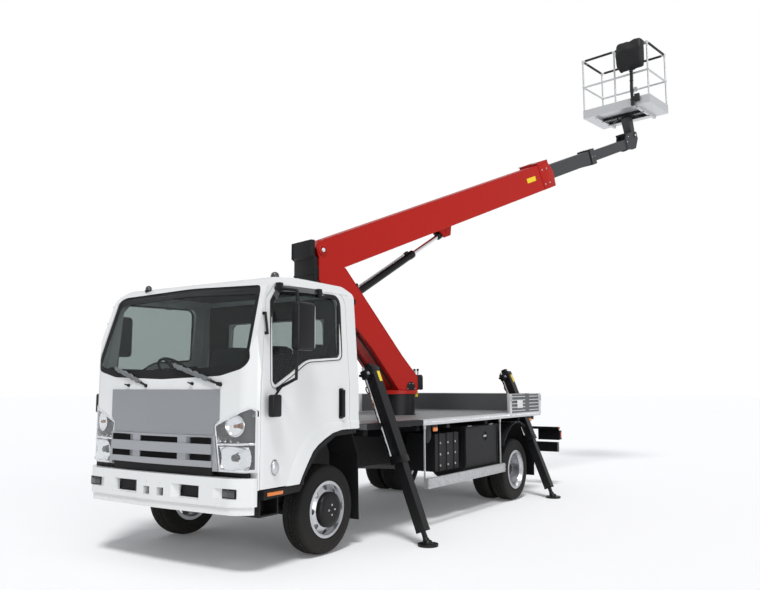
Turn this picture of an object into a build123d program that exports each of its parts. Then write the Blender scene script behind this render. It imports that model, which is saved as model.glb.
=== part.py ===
from build123d import *
import math
import os

os.makedirs("parts", exist_ok=True)

# Truck with a telescopic aerial work platform, in millimetres.
# Working frame: +X is the truck's left, -Y its front, +Z up, and the origin is on the
# ground under the front axle. The last step moves all of it so that the origin is under
# the middle of the whole model's box.

# Running gear
WHEELBASE = 3815
TYRE_R = 383.5
TYRE_W = 212
RIM_R = 236
RIM_DISC_T = 10
DISC_HOLES = 8
DISC_HOLE_R = 22
FRONT_HOLE_R = 26
HUB_COVER_R = 150
HUB_FACE = 150
REAR_HUB_R = 116
REAR_HOLES_R = 152
FRONT_HOLES_R = 188
FRONT_TRACK_HALF = 840
REAR_OUTER_HALF = 948
REAR_INNER_HALF = 702
REAR_DISC_X = -60
HUB_R = 78
SPINDLE_R = 34
SPINDLE_CLEAR = 0.06
KINGPIN_X = 672
KINGPIN_R = 20
KINGPIN_CLEAR = 0.06
FORK_GAP = 6
ARM_REACH = 165
ARM_DROP = 8

# Ladder frame
FRAME_HALF = 400
FRAME_FLANGE = 70
FRAME_WEB = 10
FRAME_BOTTOM = 600
FRAME_H = 215
FRAME_FRONT = -960
FRAME_REAR = WHEELBASE + 1545
SUBFRAME_H = 150
SPRING_W = 70
SPRING_LEAF = 12
COUPLING_SPAN_X = 120
COUPLING_SPAN_Z = 55
COUPLING_BOLT_R = 7.5
COUPLING_Z = 748

# Cab
CAB_HALF = 1000
CAB_TOP_HALF = 940
CAB_FRONT = -1062
CAB_REAR = 390
CAB_BELT = 1450
CAB_ROOF = 2390
CAB_SILL = 650
CAB_APRON = 785
CAB_FLOOR_REAR = 1062
CAB_WALL = 45
CORNER_START = -925
DOOR_REAR = 250
DOOR_TOP = 2303
DOOR_GAP = 6
DOOR_INNER = 885
LAMP_BACK = -935
STEERING_X = -450
GLASS_T = 6
GLASS_IN = 14
GLASS_CLEAR = 2

# Cab front
PANEL_HALF = 660
PANEL_FOOT = 612
PANEL_BOTTOM = 1068
PANEL_TOP = 1425
PANEL_PROUD = 10
GRILLE_HALF = 621
GRILLE_FOOT = 664
GRILLE_SIDE = 50
GRILLE_PROUD = 20
GRILLE_BAR_PROUD = 38
BUMPER_HALF = 985
BUMPER_FRONT = -1117
BUMPER_REAR = -940
BUMPER_BOTTOM = 468
BUMPER_TOP = 745
BUMPER_T = 55
BUMPER_LIP = 14
FOG_FACE = -1066
PLATE_BOLT_R = 4
PLATE_BOLT_SPAN = 160
PLATE_BOLT_Z = 671

# Deck
DECK_HALF = 1050
DECK_FRONT = 450
DECK_REAR = WHEELBASE + 885
DECK_TOP = 1097
DECK_T = 24
DECK_EDGE_H = 52
DECK_EDGE_T = 30
BOARD_H = 240
BOARD_T = 25
BOARD_FRONT = WHEELBASE - 155
BOARD_FRONT_RIGHT = WHEELBASE - 535
CROSS_LOW = 985
GUARD_X = DECK_HALF + 28
GUARD_POST_X = DECK_HALF - 15
GUARD_FRONT = 1505
GUARD_REAR = WHEELBASE - 413
MUDGUARD_T = 9
MUDGUARD_HALF = 530
MUDGUARD_RISE = 595
MUDGUARD_Y = WHEELBASE + 80
MUDGUARD_LOW = 700
BATTERY_FRONT = WHEELBASE - 1975
BATTERY_REAR = WHEELBASE - 1435
TOOLBOX_FRONT = WHEELBASE - 1335
TOOLBOX_REAR = WHEELBASE - 385
TOOLBOX_LIP = 530
TOOLBOX_TOP = 980
LID_REAR = WHEELBASE - 455
LID_TOP = 976
LID_FACE = DECK_HALF - 38

# Outriggers
LEG_TILT = 21.5
LEG_FRONT_Y = 785
LEG_REAR_Y = WHEELBASE + 420
LEG_FRONT_FOOT = DECK_HALF + 446
LEG_REAR_FOOT = DECK_HALF + 330
LEG_TOP = 1620
LEG_TUBE_END = 730
LEG_OUTER = 124
LEG_OUTER_WALL = 8
LEG_INNER = 96
LEG_INNER_WALL = 10
LEG_INNER_TOP = 1150
LEG_INNER_LOW = 132
FOOT_R = 95
FOOT_T = 22

# Turret and column
SLEW_Y = 2600
SLEW_REST = 15.5
RING_R = 250
PEDESTAL_R = 250
RING_Z = 1345
RING_GAP = 6
COLUMN_HALF = 200
CHEEK_GAP = 175
COLUMN_WALL = 12
PIN_R_POS = -1280
PIN_Z = 2980
LUFF_PIN_R = 32
PIN_CLEAR = 0.06

# Boom, measured along the boom from the luff pin
BOOM_REST = 22.3
BOOM_HALF = 160
BOOM_TOP = 110
BOOM_BOTTOM = -280
BOOM_END = 4700
BOOM_WALL = 10
MID_HALF = 105
MID_TOP = 50
MID_BOTTOM = -165
MID_START = 1500
MID_END = 6110
MID_WALL = 9
FLY_HALF = 82
FLY_TOP = 27
FLY_BOTTOM = -142
FLY_START = 2900
FLY_END = 7440
FLY_WALL = 8
SECTION_CLEAR = 6
COLLAR_PROUD = 38
HEAD_PIN_ALONG = FLY_END + 160
HEAD_PIN_PERP = 46
HEAD_PIN_R = 22

# Luff cylinder
EYE_R_POS = 870
EYE_Z = 3495
FOOT_R_POS = -860
FOOT_Z = 2410
BARREL_R = 46
BARREL_WALL = 8
BARREL_LEN = 1380
ROD_R = 28
ROD_LEN = 1540
CYL_EYE_R = 50
CYL_PIN_R = 22

# Basket, in its own frame: across the boom, along the boom, up from the floor's underside
BASKET_LEN = 1240
BASKET_DEPTH = 780
BASKET_H = 1100
BASKET_TUBE = 17
BASKET_TURN = 6
CONTROLS_X = 330
CONTROLS_HALF = 235
CONTROLS_GAP = 24
TOE_H = 150
TURN_RING_R = 90
# From the head pin: up to the floor's underside, back to the turn ring, and back to the basket's middle
BASKET_RISE = 343.5
TURN_BACK = 94
BASKET_BACK = 134


def block(x0, x1, y0, y1, z0, z1):
    """A box between two values on each axis."""
    return Pos((x0 + x1) / 2, (y0 + y1) / 2, (z0 + z1) / 2) * Box(x1 - x0, y1 - y0, z1 - z0)


def rod(start, end, radius):
    """A round bar from one point to another."""
    a = Vector(*start)
    b = Vector(*end)
    return Plane(origin=a, z_dir=b - a) * Cylinder(
        radius, (b - a).length, align=(Align.CENTER, Align.CENTER, Align.MIN))


def outline(points):
    """A flat face from corner points."""
    return make_face(Polyline(*points, close=True))


def side_prism(face, x0, x1):
    """Extrude a face drawn as (y, z) from x0 to x1."""
    return extrude(Plane.YZ.offset(x0) * face, amount=x1 - x0, dir=(1, 0, 0))


def front_prism(face, y0, y1):
    """Extrude a face drawn as (x, z) from y0 to y1."""
    return extrude(Plane.XZ.offset(-y0) * face, amount=y1 - y0, dir=(0, 1, 0))


def plan_prism(face, z0, z1):
    """Extrude a face drawn as (x, y) from z0 to z1."""
    return extrude(Plane.XY.offset(z0) * face, amount=z1 - z0, dir=(0, 0, 1))


def mirrored(shape):
    """The same shape on the truck's other side."""
    return mirror(shape, about=Plane.YZ)


def both_sides(shape):
    """A shape and its copy on the other side, as one node."""
    return Compound([*shape.solids(), *mirrored(shape).solids()])


def fused(pieces):
    """Join a list of touching solids into one."""
    body = pieces[0]
    for piece in pieces[1:]:
        body = body + piece
    return body


# Wheels, drawn about their own axle along X with the outer face to +X

def tyre():
    """One tyre with chamfered shoulders."""
    half = TYRE_W / 2
    bead = RIM_R - 6
    profile = outline([
        (bead, -half + 22), (RIM_R + 14, -half + 4), (RIM_R + 75, -half), (TYRE_R - 22, -half + 10),
        (TYRE_R, -half + 36), (TYRE_R, half - 36), (TYRE_R - 22, half - 10), (RIM_R + 75, half),
        (RIM_R + 14, half - 4), (bead, half - 22)])
    ring = revolve(Plane.XY * profile, axis=Axis.Y)
    return Rot(0, 0, -90) * ring


def rim(barrel, disc, holes_at, hole_r, hole_y):
    """A steel rim turned from two half sections, with a ring of round holes in its disc."""
    body = revolve(outline(barrel), axis=Axis.Y) + revolve(outline(disc), axis=Axis.Y)
    for index in range(DISC_HOLES):
        turn = Rot(0, 360 / DISC_HOLES * index, 0)
        body = body - turn * Pos(holes_at, hole_y, 0) * Rot(90, 0, 0) * Cylinder(hole_r, 60)
    return Rot(0, 0, -90) * body


def barrel_inner(half, bead):
    """The corners of a rim's half section on the side away from its dish."""
    return [(bead - 26, -half + 44), (bead - 14, -half + 14), (RIM_R + 6, -half + 6), (RIM_R + 6, -half + 2),
            (bead - 20, -half + 2), (bead - 34, -half + 40)]


def front_wheel():
    """Rim with its domed hub cover, and tyre, of the left front wheel, in place."""
    place = Pos(FRONT_TRACK_HALF, 0, TYRE_R)
    half = TYRE_W / 2
    bead = RIM_R - 6
    bore = SPINDLE_R + SPINDLE_CLEAR
    seat = HUB_FACE - 54
    barrel = barrel_inner(half, bead) + [
        (bead - 34, 30), (bead - 12, 44), (bead - 12, half - 2), (RIM_R + 6, half - 2), (RIM_R + 6, half - 6),
        (bead - 4, half - 14), (bead - 4, 48), (bead - 26, 34)]
    disc = [(bore, seat), (HUB_COVER_R + 4, seat), (bead - 18, 62), (bead - 8, 62), (bead - 8, 52),
            (bead - 18, 52), (HUB_COVER_R + 4, seat - 10), (bore, seat - 10)]
    cover = revolve(outline([
        (0, seat - 10), (HUB_COVER_R, seat - 10), (HUB_COVER_R, HUB_FACE - 20), (HUB_COVER_R - 14, HUB_FACE - 6),
        (HUB_COVER_R - 70, HUB_FACE), (0, HUB_FACE)]), axis=Axis.Y)
    stub = revolve(outline([
        (0, -20), (SPINDLE_R + 24, -20), (SPINDLE_R + 24, seat - 9), (0, seat - 9)]), axis=Axis.Y)
    hollow = revolve(outline([(0, -40), (bore, -40), (bore, seat - 10), (0, seat - 10)]), axis=Axis.Y)
    body = rim(barrel, disc, FRONT_HOLES_R, FRONT_HOLE_R, 78)
    body = body + Rot(0, 0, -90) * (cover + stub) - Rot(0, 0, -90) * hollow
    return place * body, place * tyre()


def twin_wheels():
    """The two rims, bolted disc to disc on one hub, and two tyres of the left rear wheel."""
    outer = Pos(REAR_OUTER_HALF, WHEELBASE, TYRE_R)
    inner = Pos(REAR_INNER_HALF, WHEELBASE, TYRE_R)
    meet = (REAR_OUTER_HALF - REAR_INNER_HALF) / 2
    half = TYRE_W / 2
    bead = RIM_R - 6
    edge = bead - 30
    barrel = barrel_inner(half, bead) + [
        (bead - 34, half - 40), (bead - 20, half - 2), (RIM_R + 6, half - 2), (RIM_R + 6, half - 6),
        (bead - 14, half - 14), (bead - 26, half - 44)]
    bolted = RIM_DISC_T - meet
    low = REAR_DISC_X - RIM_DISC_T
    inside = SPINDLE_R + SPINDLE_CLEAR
    disc = [(inside, bolted), (REAR_HUB_R, bolted), (edge - 18, REAR_DISC_X), (edge, REAR_DISC_X), (edge, low),
            (edge - 18, low), (REAR_HUB_R, -meet), (inside, -meet)]
    single = rim(barrel, disc, REAR_HOLES_R, DISC_HOLE_R, (REAR_DISC_X + bolted) / 2 - 5)
    middle = REAR_OUTER_HALF - meet
    hub = rod((middle - 95, WHEELBASE, TYRE_R), (middle + 60, WHEELBASE, TYRE_R), HUB_R)
    cap = rod((middle + 55, WHEELBASE, TYRE_R), (REAR_OUTER_HALF + 30, WHEELBASE, TYRE_R), HUB_R - 20)
    bore = rod((REAR_INNER_HALF - 200, WHEELBASE, TYRE_R), (REAR_OUTER_HALF + 16, WHEELBASE, TYRE_R),
               SPINDLE_R + SPINDLE_CLEAR)
    rims = outer * single + inner * (Rot(0, 0, 180) * single) + hub + cap - bore
    tyres = Compound([*(outer * tyre()).solids(), *(inner * tyre()).solids()])
    return rims, tyres


def knuckle():
    """Left steering knuckle: fork on the kingpin, wheel spindle and steering arm."""
    z = TYRE_R
    body = block(KINGPIN_X - 38, KINGPIN_X + 38, -36, 36, z - 96, z + 96)
    body = body - block(KINGPIN_X - 60, KINGPIN_X + 60, -50, 50, z - 48 - FORK_GAP, z + 48 + FORK_GAP)
    body = body + block(KINGPIN_X + 44, KINGPIN_X + 62, -60, 60, z - 96, z + 96)
    body = body + block(KINGPIN_X + 30, KINGPIN_X + 46, -36, 36, z + 48 + FORK_GAP, z + 96)
    body = body + block(KINGPIN_X + 30, KINGPIN_X + 46, -36, 36, z - 96, z - 48 - FORK_GAP)
    body = body + rod((KINGPIN_X, 0, z - 90), (KINGPIN_X, 0, z + 90), KINGPIN_R)
    body = body + rod((KINGPIN_X + 60, 0, z), (FRONT_TRACK_HALF + 76, 0, z), SPINDLE_R)
    body = body + rod((KINGPIN_X + 60, 0, z), (FRONT_TRACK_HALF - 26, 0, z), SPINDLE_R + 26)
    arm_z = z - 84
    body = body + block(KINGPIN_X - 30, KINGPIN_X + 10, 20, ARM_REACH, arm_z, arm_z + 22)
    return body


def tie_rod():
    """Track rod under the two steering arms."""
    z = TYRE_R - 84 - ARM_DROP - 14
    x = KINGPIN_X - 10
    bar = rod((-x, ARM_REACH - 20, z), (x, ARM_REACH - 20, z), 13)
    ends = [rod((side * x, ARM_REACH - 20, z - 16), (side * x, ARM_REACH - 20, z + 14), 19) for side in (-1, 1)]
    return fused([bar, *ends])


def leaf_pack(y, z_axle, half_span, x):
    """Four leaves curved up at the ends, with the axle clamp."""
    rise = 70
    pieces = []
    for index in range(4):
        span = half_span * (1 - 0.22 * index)
        bend = rise * (span / half_span) ** 2
        top = z_axle + 56 + SPRING_LEAF * (3 - index)
        face = outline([
            (y - span, top + bend), (y - span / 2, top + bend / 4), (y, top), (y + span / 2, top + bend / 4),
            (y + span, top + bend), (y + span, top + bend + SPRING_LEAF + 1),
            (y + span / 2, top + bend / 4 + SPRING_LEAF + 1), (y, top + SPRING_LEAF + 1),
            (y - span / 2, top + bend / 4 + SPRING_LEAF + 1), (y - span, top + bend + SPRING_LEAF + 1)])
        pieces.append(side_prism(face, x - SPRING_W / 2, x + SPRING_W / 2))
    pieces.append(block(x - 46, x + 46, y - 60, y + 60, z_axle + 30, z_axle + 112))
    return fused(pieces)


def front_axle():
    """Dropped beam between the kingpins, with its two leaf springs."""
    z = TYRE_R
    beam = block(-560, 560, -34, 34, z - 70, z + 10)
    pieces = [beam]
    for side in (-1, 1):
        near, far = sorted((side * 520, side * (KINGPIN_X + 26)))
        pieces.append(block(near, far, -30, 30, z - 48, z + 48))
    axle = fused(pieces)
    for side in (-1, 1):
        x = side * KINGPIN_X
        axle = axle - rod((x, 0, z - 60), (x, 0, z + 60), KINGPIN_R + KINGPIN_CLEAR)
    spring_x = FRAME_HALF - SPRING_W / 2 - 10
    for side in (-1, 1):
        axle = axle + leaf_pack(0, z - 40, 560, side * spring_x)
    return axle


def rear_axle():
    """Driven axle: housing, differential, spindles and two leaf springs."""
    y = WHEELBASE
    z = TYRE_R
    housing = rod((-560, y, z), (560, y, z), 66)
    pieces = [housing, Pos(0, y, z) * Sphere(175), rod((0, y - 260, z), (0, y, z), 70)]
    for side in (-1, 1):
        pieces.append(rod((side * 540, y, z), (side * (REAR_OUTER_HALF + 8), y, z), SPINDLE_R))
        pieces.append(rod((side * 540, y, z), (side * 600, y, z), 90))
        pieces.append(leaf_pack(y, z + 20, 640, side * (FRAME_HALF - SPRING_W / 2)))
    return fused(pieces)


def chassis_frame():
    """Two channel rails, cross members and the spring hangers."""
    top = FRAME_BOTTOM + FRAME_H
    rail = block(FRAME_HALF - FRAME_FLANGE, FRAME_HALF, FRAME_FRONT, FRAME_REAR, FRAME_BOTTOM, top)
    hollow = block(FRAME_HALF - FRAME_FLANGE - 1, FRAME_HALF - FRAME_WEB, FRAME_FRONT - 1, FRAME_REAR + 1,
                   FRAME_BOTTOM + FRAME_WEB, top - FRAME_WEB)
    rail = rail - hollow
    pieces = [rail, mirrored(rail)]
    # Cross members: place along the truck, depth
    for y, depth in ((FRAME_FRONT + 40, 80), (1150, 70), (1700, 70), (SLEW_Y, 90), (WHEELBASE - 515, 70),
                     (WHEELBASE + 485, 70), (FRAME_REAR - 40, 80)):
        inner = FRAME_HALF - FRAME_WEB
        pieces.append(block(-inner, inner, y - depth / 2, y + depth / 2, FRAME_BOTTOM + 100, top - 20))
    for y, half_span, drop in ((0, 560, 110), (WHEELBASE, 640, 60)):
        for end in (-1, 1):
            for side in (-1, 1):
                x = side * (FRAME_HALF - SPRING_W / 2 - 5)
                place = y + end * (half_span + 34)
                pieces.append(block(x - 30, x + 30, place - 32, place + 32, FRAME_BOTTOM - drop, FRAME_BOTTOM + 20))
    frame = fused(pieces)
    for x in (-COUPLING_SPAN_X / 2, COUPLING_SPAN_X / 2):
        for z in (COUPLING_Z - COUPLING_SPAN_Z / 2, COUPLING_Z + COUPLING_SPAN_Z / 2):
            frame = frame - rod((x, FRAME_REAR - 90, z), (x, FRAME_REAR + 10, z), COUPLING_BOLT_R)
    return frame


def subframe():
    """Box rails on the ladder frame that carry the deck, turret and outriggers."""
    base = FRAME_BOTTOM + FRAME_H
    inner = FRAME_HALF - 80
    pieces = []
    for side in (-1, 1):
        near, far = sorted((side * inner, side * FRAME_HALF))
        pieces.append(block(near, far, DECK_FRONT + 20, DECK_REAR + 200, base, base + SUBFRAME_H))
    for y in (DECK_FRONT + 80, 1500, 2150, WHEELBASE - 695, LEG_REAR_Y - 123, DECK_REAR - 110):
        pieces.append(block(-FRAME_HALF, FRAME_HALF, y - 35, y + 35, base + SUBFRAME_H - 20, DECK_TOP - DECK_T))
        pieces.append(block(-DECK_HALF + 70, DECK_HALF - 70, y - 35, y + 35, CROSS_LOW, DECK_TOP - DECK_T))
        pieces.append(block(-inner - 10, inner + 10, y - 35, y + 35, base + 40, base + SUBFRAME_H))
    pieces.append(block(-inner - 10, inner + 10, SLEW_Y - PEDESTAL_R, SLEW_Y + PEDESTAL_R, base + 60,
                        DECK_TOP - DECK_T))
    return fused(pieces)


def leg_frame(foot, y):
    """Place of an outrigger leg: origin at the foot on the ground, +Z up along the leg."""
    return Pos(foot, y, 0) * Rot(0, -LEG_TILT, 0)


def along_leg(z):
    """Distance along the leg for a height above the ground."""
    return z / math.cos(math.radians(LEG_TILT))


def outrigger_pair(foot, y):
    """Cross beam with the two fixed inclined tubes and their valve heads."""
    half = LEG_OUTER / 2
    bore = half - LEG_OUTER_WALL
    low = along_leg(LEG_TUBE_END)
    high = along_leg(LEG_TOP)
    tube = block(-half, half, -half, half, low, high)
    tube = tube - block(-bore, bore, -bore, bore, low - 1, high - 14)
    head = block(-30, 30, -34, 34, high - 1, high + 46)
    tube = leg_frame(foot, y) * (tube + head)
    beam_top = DECK_TOP - DECK_T
    beam_low = FRAME_BOTTOM + FRAME_H + SUBFRAME_H
    beam_x = foot - beam_top * math.tan(math.radians(LEG_TILT)) - half + 4
    beam = block(-beam_x, beam_x, y - 58, y + 58, beam_low, beam_top)
    return fused([beam, tube, mirrored(tube)])


def leg_envelope(foot, y):
    """Space that the fixed tube needs through the deck and boards."""
    half = LEG_OUTER / 2 + 6
    shape = leg_frame(foot, y) * block(-half, half, -half, half, along_leg(700), along_leg(1700))
    beam = block(-DECK_HALF - 50, DECK_HALF + 50, y - half, y + half, 900, DECK_TOP - DECK_T)
    return shape + mirrored(shape) + beam


def outrigger_leg(foot, y):
    """Sliding inner tube with its round foot, left side."""
    half = LEG_INNER / 2
    bore = half - LEG_INNER_WALL
    tube = block(-half, half, -half, half, LEG_INNER_LOW, along_leg(LEG_INNER_TOP))
    tube = tube - block(-bore, bore, -bore, bore, LEG_INNER_LOW + 20, along_leg(LEG_INNER_TOP) + 1)
    link = Pos(0, 0, 52) * Sphere(28) + rod((0, 0, 52), (0, 0, LEG_INNER_LOW + 2), 21)
    leg = leg_frame(foot, y) * (tube + link)
    pad = Pos(foot, y, 0) * (Pos(0, 0, FOOT_T / 2) * Cylinder(FOOT_R, FOOT_T) +
                             Pos(0, 0, FOOT_T + 13) * Cone(40, 30, 28))
    return leg + pad


# Cab

# Corners of the cab's outlines as (y, z), (x, z) or (x, y), with the radius of each corner
CAB_SIDE = [
    (CAB_FRONT, CAB_APRON, 0), (CAB_FRONT, 1500, 260), (-832, 2250, 160), (-700, 2352, 160), (-300, CAB_ROOF, 300),
    (330, CAB_ROOF - 10, 40), (CAB_REAR, 2320, 40), (CAB_REAR, CAB_FLOOR_REAR, 0), (20, CAB_FLOOR_REAR, 120),
    (-270, 925, 150), (-440, CAB_SILL + 50, 0), (-459, CAB_SILL, 0), (LAMP_BACK, CAB_SILL, 0),
    (LAMP_BACK, CAB_APRON, 0)]
CAB_FACE = [
    (-CAB_HALF, 600, 0), (CAB_HALF, 600, 0), (CAB_HALF, CAB_BELT, 400), (CAB_TOP_HALF, 2290, 90),
    (820, CAB_ROOF + 12, 120), (-820, CAB_ROOF + 12, 120), (-CAB_TOP_HALF, 2290, 90), (-CAB_HALF, CAB_BELT, 400)]
CAB_PLAN = [
    (-CAB_HALF, CAB_REAR, 0), (-CAB_HALF, CORNER_START, 90), (-890, -1022, 110), (0, CAB_FRONT - 8, 3000),
    (890, -1022, 110), (CAB_HALF, CORNER_START, 90), (CAB_HALF, CAB_REAR, 0)]
DOOR_SIDE = [
    (CORNER_START, CAB_SILL, 0), (-459, CAB_SILL, 0), (-440, CAB_SILL + 50, 0), (-270, 925, 150),
    (20, CAB_FLOOR_REAR, 120), (DOOR_REAR, CAB_FLOOR_REAR, 30), (DOOR_REAR, DOOR_TOP, 130), (-722, DOOR_TOP - 14, 50),
    (-835, 2165, 60), (CORNER_START, CAB_BELT + 60, 200)]
DOOR_WINDOW = [
    (-800, 1435, 40), (-560, 1555, 300), (-350, 1672, 300), (DOOR_REAR - 120, 1705, 50), (DOOR_REAR - 105, 2250, 90),
    (-690, 2230, 40), (-765, 2135, 40)]
SCREEN = [
    (-935, 1600, 110), (-650, 1532, 300), (0, 1510, 0), (650, 1532, 300), (935, 1600, 110), (890, 2274, 80),
    (0, 2308, 3000), (-890, 2274, 80)]
REAR_WINDOW = [(-620, 1640, 60), (620, 1640, 60), (600, 2080, 60), (-600, 2080, 60)]
LAMP_FACE = [(672, 792, 20), (617, 1143, 10), (945, 1286, 20), (985, 1262, 20), (985, 800, 10)]
SLOT_ENDS = ((-596, -370), (-230, 230), (370, 596))
MAIN_BAR = (917, 996)
LOW_BAR = (816, 865)


def rounded(corners):
    """A flat face from corners that each have their own radius."""
    face = outline([(u, v) for u, v, radius in corners])
    for u, v, radius in corners:
        if radius:
            near = face.vertices().sort_by_distance((u, v, 0))[0]
            face = fillet(near, radius)
    return face


def cab_form(inset):
    """The cab's outer form, moved inwards by inset."""
    grow = -inset
    side = rounded(CAB_SIDE)
    face = rounded(CAB_FACE)
    plan = rounded(CAB_PLAN)
    if grow:
        side = offset(side, amount=grow, kind=Kind.INTERSECTION)
        face = offset(face, amount=grow, kind=Kind.INTERSECTION)
        plan = offset(plan, amount=grow, kind=Kind.INTERSECTION)
    far = CAB_HALF + 200
    form = side_prism(side, -far, far)
    form = form & front_prism(face, CAB_FRONT - 200, CAB_REAR + 200)
    return form & plan_prism(plan, 300, CAB_ROOF + 200)


CAB_OUTER = cab_form(0)
CAB_INNER = cab_form(CAB_WALL)
CAB_SKIN = CAB_OUTER - CAB_INNER
REACH = CAB_HALF + 60


def door_prism(gap):
    """The left door's outline through the wall, made smaller by gap."""
    face = rounded(DOOR_SIDE)
    if gap:
        face = offset(face, amount=-gap, kind=Kind.INTERSECTION)
    return side_prism(face, DOOR_INNER, REACH)


def lamp_prism(gap):
    """Left headlamp's outline through the front wall."""
    face = rounded(LAMP_FACE)
    if gap:
        face = offset(face, amount=-gap, kind=Kind.INTERSECTION)
    return front_prism(face, CAB_FRONT - 60, LAMP_BACK)


def cab_shell():
    """Roof, pillars, front, rear wall and floor, with the door, lamp and window openings."""
    shell = CAB_SKIN
    tunnel = block(-440, 440, -1020, -380, 690, 850) & CAB_OUTER
    shell = shell + tunnel - block(-FRAME_HALF - 28, FRAME_HALF + 28, -1200, -300, 600, 826)
    for opening in (door_prism(0), lamp_prism(0)):
        shell = shell - opening - mirrored(opening)
    shell = shell - front_prism(rounded(SCREEN), CAB_FRONT - 60, -600)
    shell = shell - front_prism(rounded(REAR_WINDOW), CAB_REAR - 100, CAB_REAR + 50)
    return shell


def cab_glass():
    """Windscreen and rear window."""
    band = cab_form(GLASS_IN) - cab_form(GLASS_IN + GLASS_T)
    screen = offset(rounded(SCREEN), amount=-GLASS_CLEAR, kind=Kind.INTERSECTION)
    rear = offset(rounded(REAR_WINDOW), amount=-GLASS_CLEAR, kind=Kind.INTERSECTION)
    front = band & front_prism(screen, CAB_FRONT - 60, -600)
    back = band & front_prism(rear, CAB_REAR - 100, CAB_REAR + 50)
    return Compound([*front.solids(), *back.solids()])


def door_left():
    """The whole left door as thick as the wall, with its window cut."""
    door = CAB_SKIN & door_prism(DOOR_GAP)
    door = door - side_prism(rounded(DOOR_WINDOW), 700, REACH)
    handle = block(CAB_HALF - 2, CAB_HALF + 34, 105, 135, 1175, 1415)
    handle = handle - block(CAB_HALF, CAB_HALF + 20, 100, 140, 1210, 1380)
    return door + handle


def door_glass_left():
    """Side window in the door."""
    band = cab_form(GLASS_IN) - cab_form(GLASS_IN + GLASS_T)
    face = offset(rounded(DOOR_WINDOW), amount=-GLASS_CLEAR, kind=Kind.INTERSECTION)
    return band & side_prism(face, 700, REACH)


def mirror_left():
    """Mirror head, lower mirror and tube arm, fixed to the door."""
    head = block(1110, 1195, -720, -490, 1736, 2130)
    head = fillet(head.edges().filter_by(Axis.X), 30)
    low = block(1040, 1100, -900, -790, 1210, 1385)
    x = 1150
    y = -685
    arm = [rod((x, y, 2100), (x, y, 2225), 13), rod((x, y, 2221), (930, -700, 2253), 13),
           rod((x, y, 1500), (x, y, 1760), 13), rod((x, y, 1506), (985, -738, 1426), 13),
           rod((1030, -723, 1446), (1072, -842, 1376), 11)]
    return fused([head, *arm, low]) - CAB_OUTER


def front_panel():
    """The lift-up panel below the windscreen."""
    face = outline([
        (-PANEL_FOOT, PANEL_BOTTOM), (PANEL_FOOT, PANEL_BOTTOM), (PANEL_FOOT, 1152), (PANEL_HALF, 1188),
        (PANEL_HALF, PANEL_TOP), (-PANEL_HALF, PANEL_TOP), (-PANEL_HALF, 1188), (-PANEL_FOOT, 1152)])
    return (cab_form(-PANEL_PROUD) - CAB_OUTER) & front_prism(face, CAB_FRONT - 80, -700)


def grille_skin(proud, corners):
    """A piece of the curved front inside an (x, z) outline, standing out by proud."""
    return (cab_form(-proud) - cab_form(-3)) & front_prism(outline(corners), CAB_FRONT - 80, -700)


def grille():
    """Frame with six slots, its wide upper bar and thin lower bar, and the side posts beside the lamps."""
    top = PANEL_BOTTOM - 6
    low = CAB_APRON + 3
    inner = GRILLE_FOOT - GRILLE_SIDE
    frame = grille_skin(GRILLE_PROUD, [
        (-GRILLE_FOOT, low), (-inner, low), (-inner, LOW_BAR[0]), (inner, LOW_BAR[0]), (inner, low),
        (GRILLE_FOOT, low), (GRILLE_HALF, top), (-GRILLE_HALF, top)])
    for z0, z1 in ((LOW_BAR[1], MAIN_BAR[0]), (MAIN_BAR[1], top - 20)):
        for x0, x1 in SLOT_ENDS:
            frame = frame - block(x0, x1, CAB_FRONT - 90, CAB_FRONT + 90, z0, z1)
    bars = []
    for proud, (z0, z1) in ((GRILLE_BAR_PROUD, MAIN_BAR), (GRILLE_BAR_PROUD - 8, LOW_BAR)):
        half = GRILLE_HALF - 10
        bars.append(grille_skin(proud, [(-half, z0), (half, z0), (half, z1), (-half, z1)]))
    return fused([frame, *bars])


def headlamp_left():
    """Headlamp body set in the corner of the cab front."""
    return (cab_form(-6) - cab_form(CAB_WALL + 20)) & lamp_prism(DOOR_GAP / 2)


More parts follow.
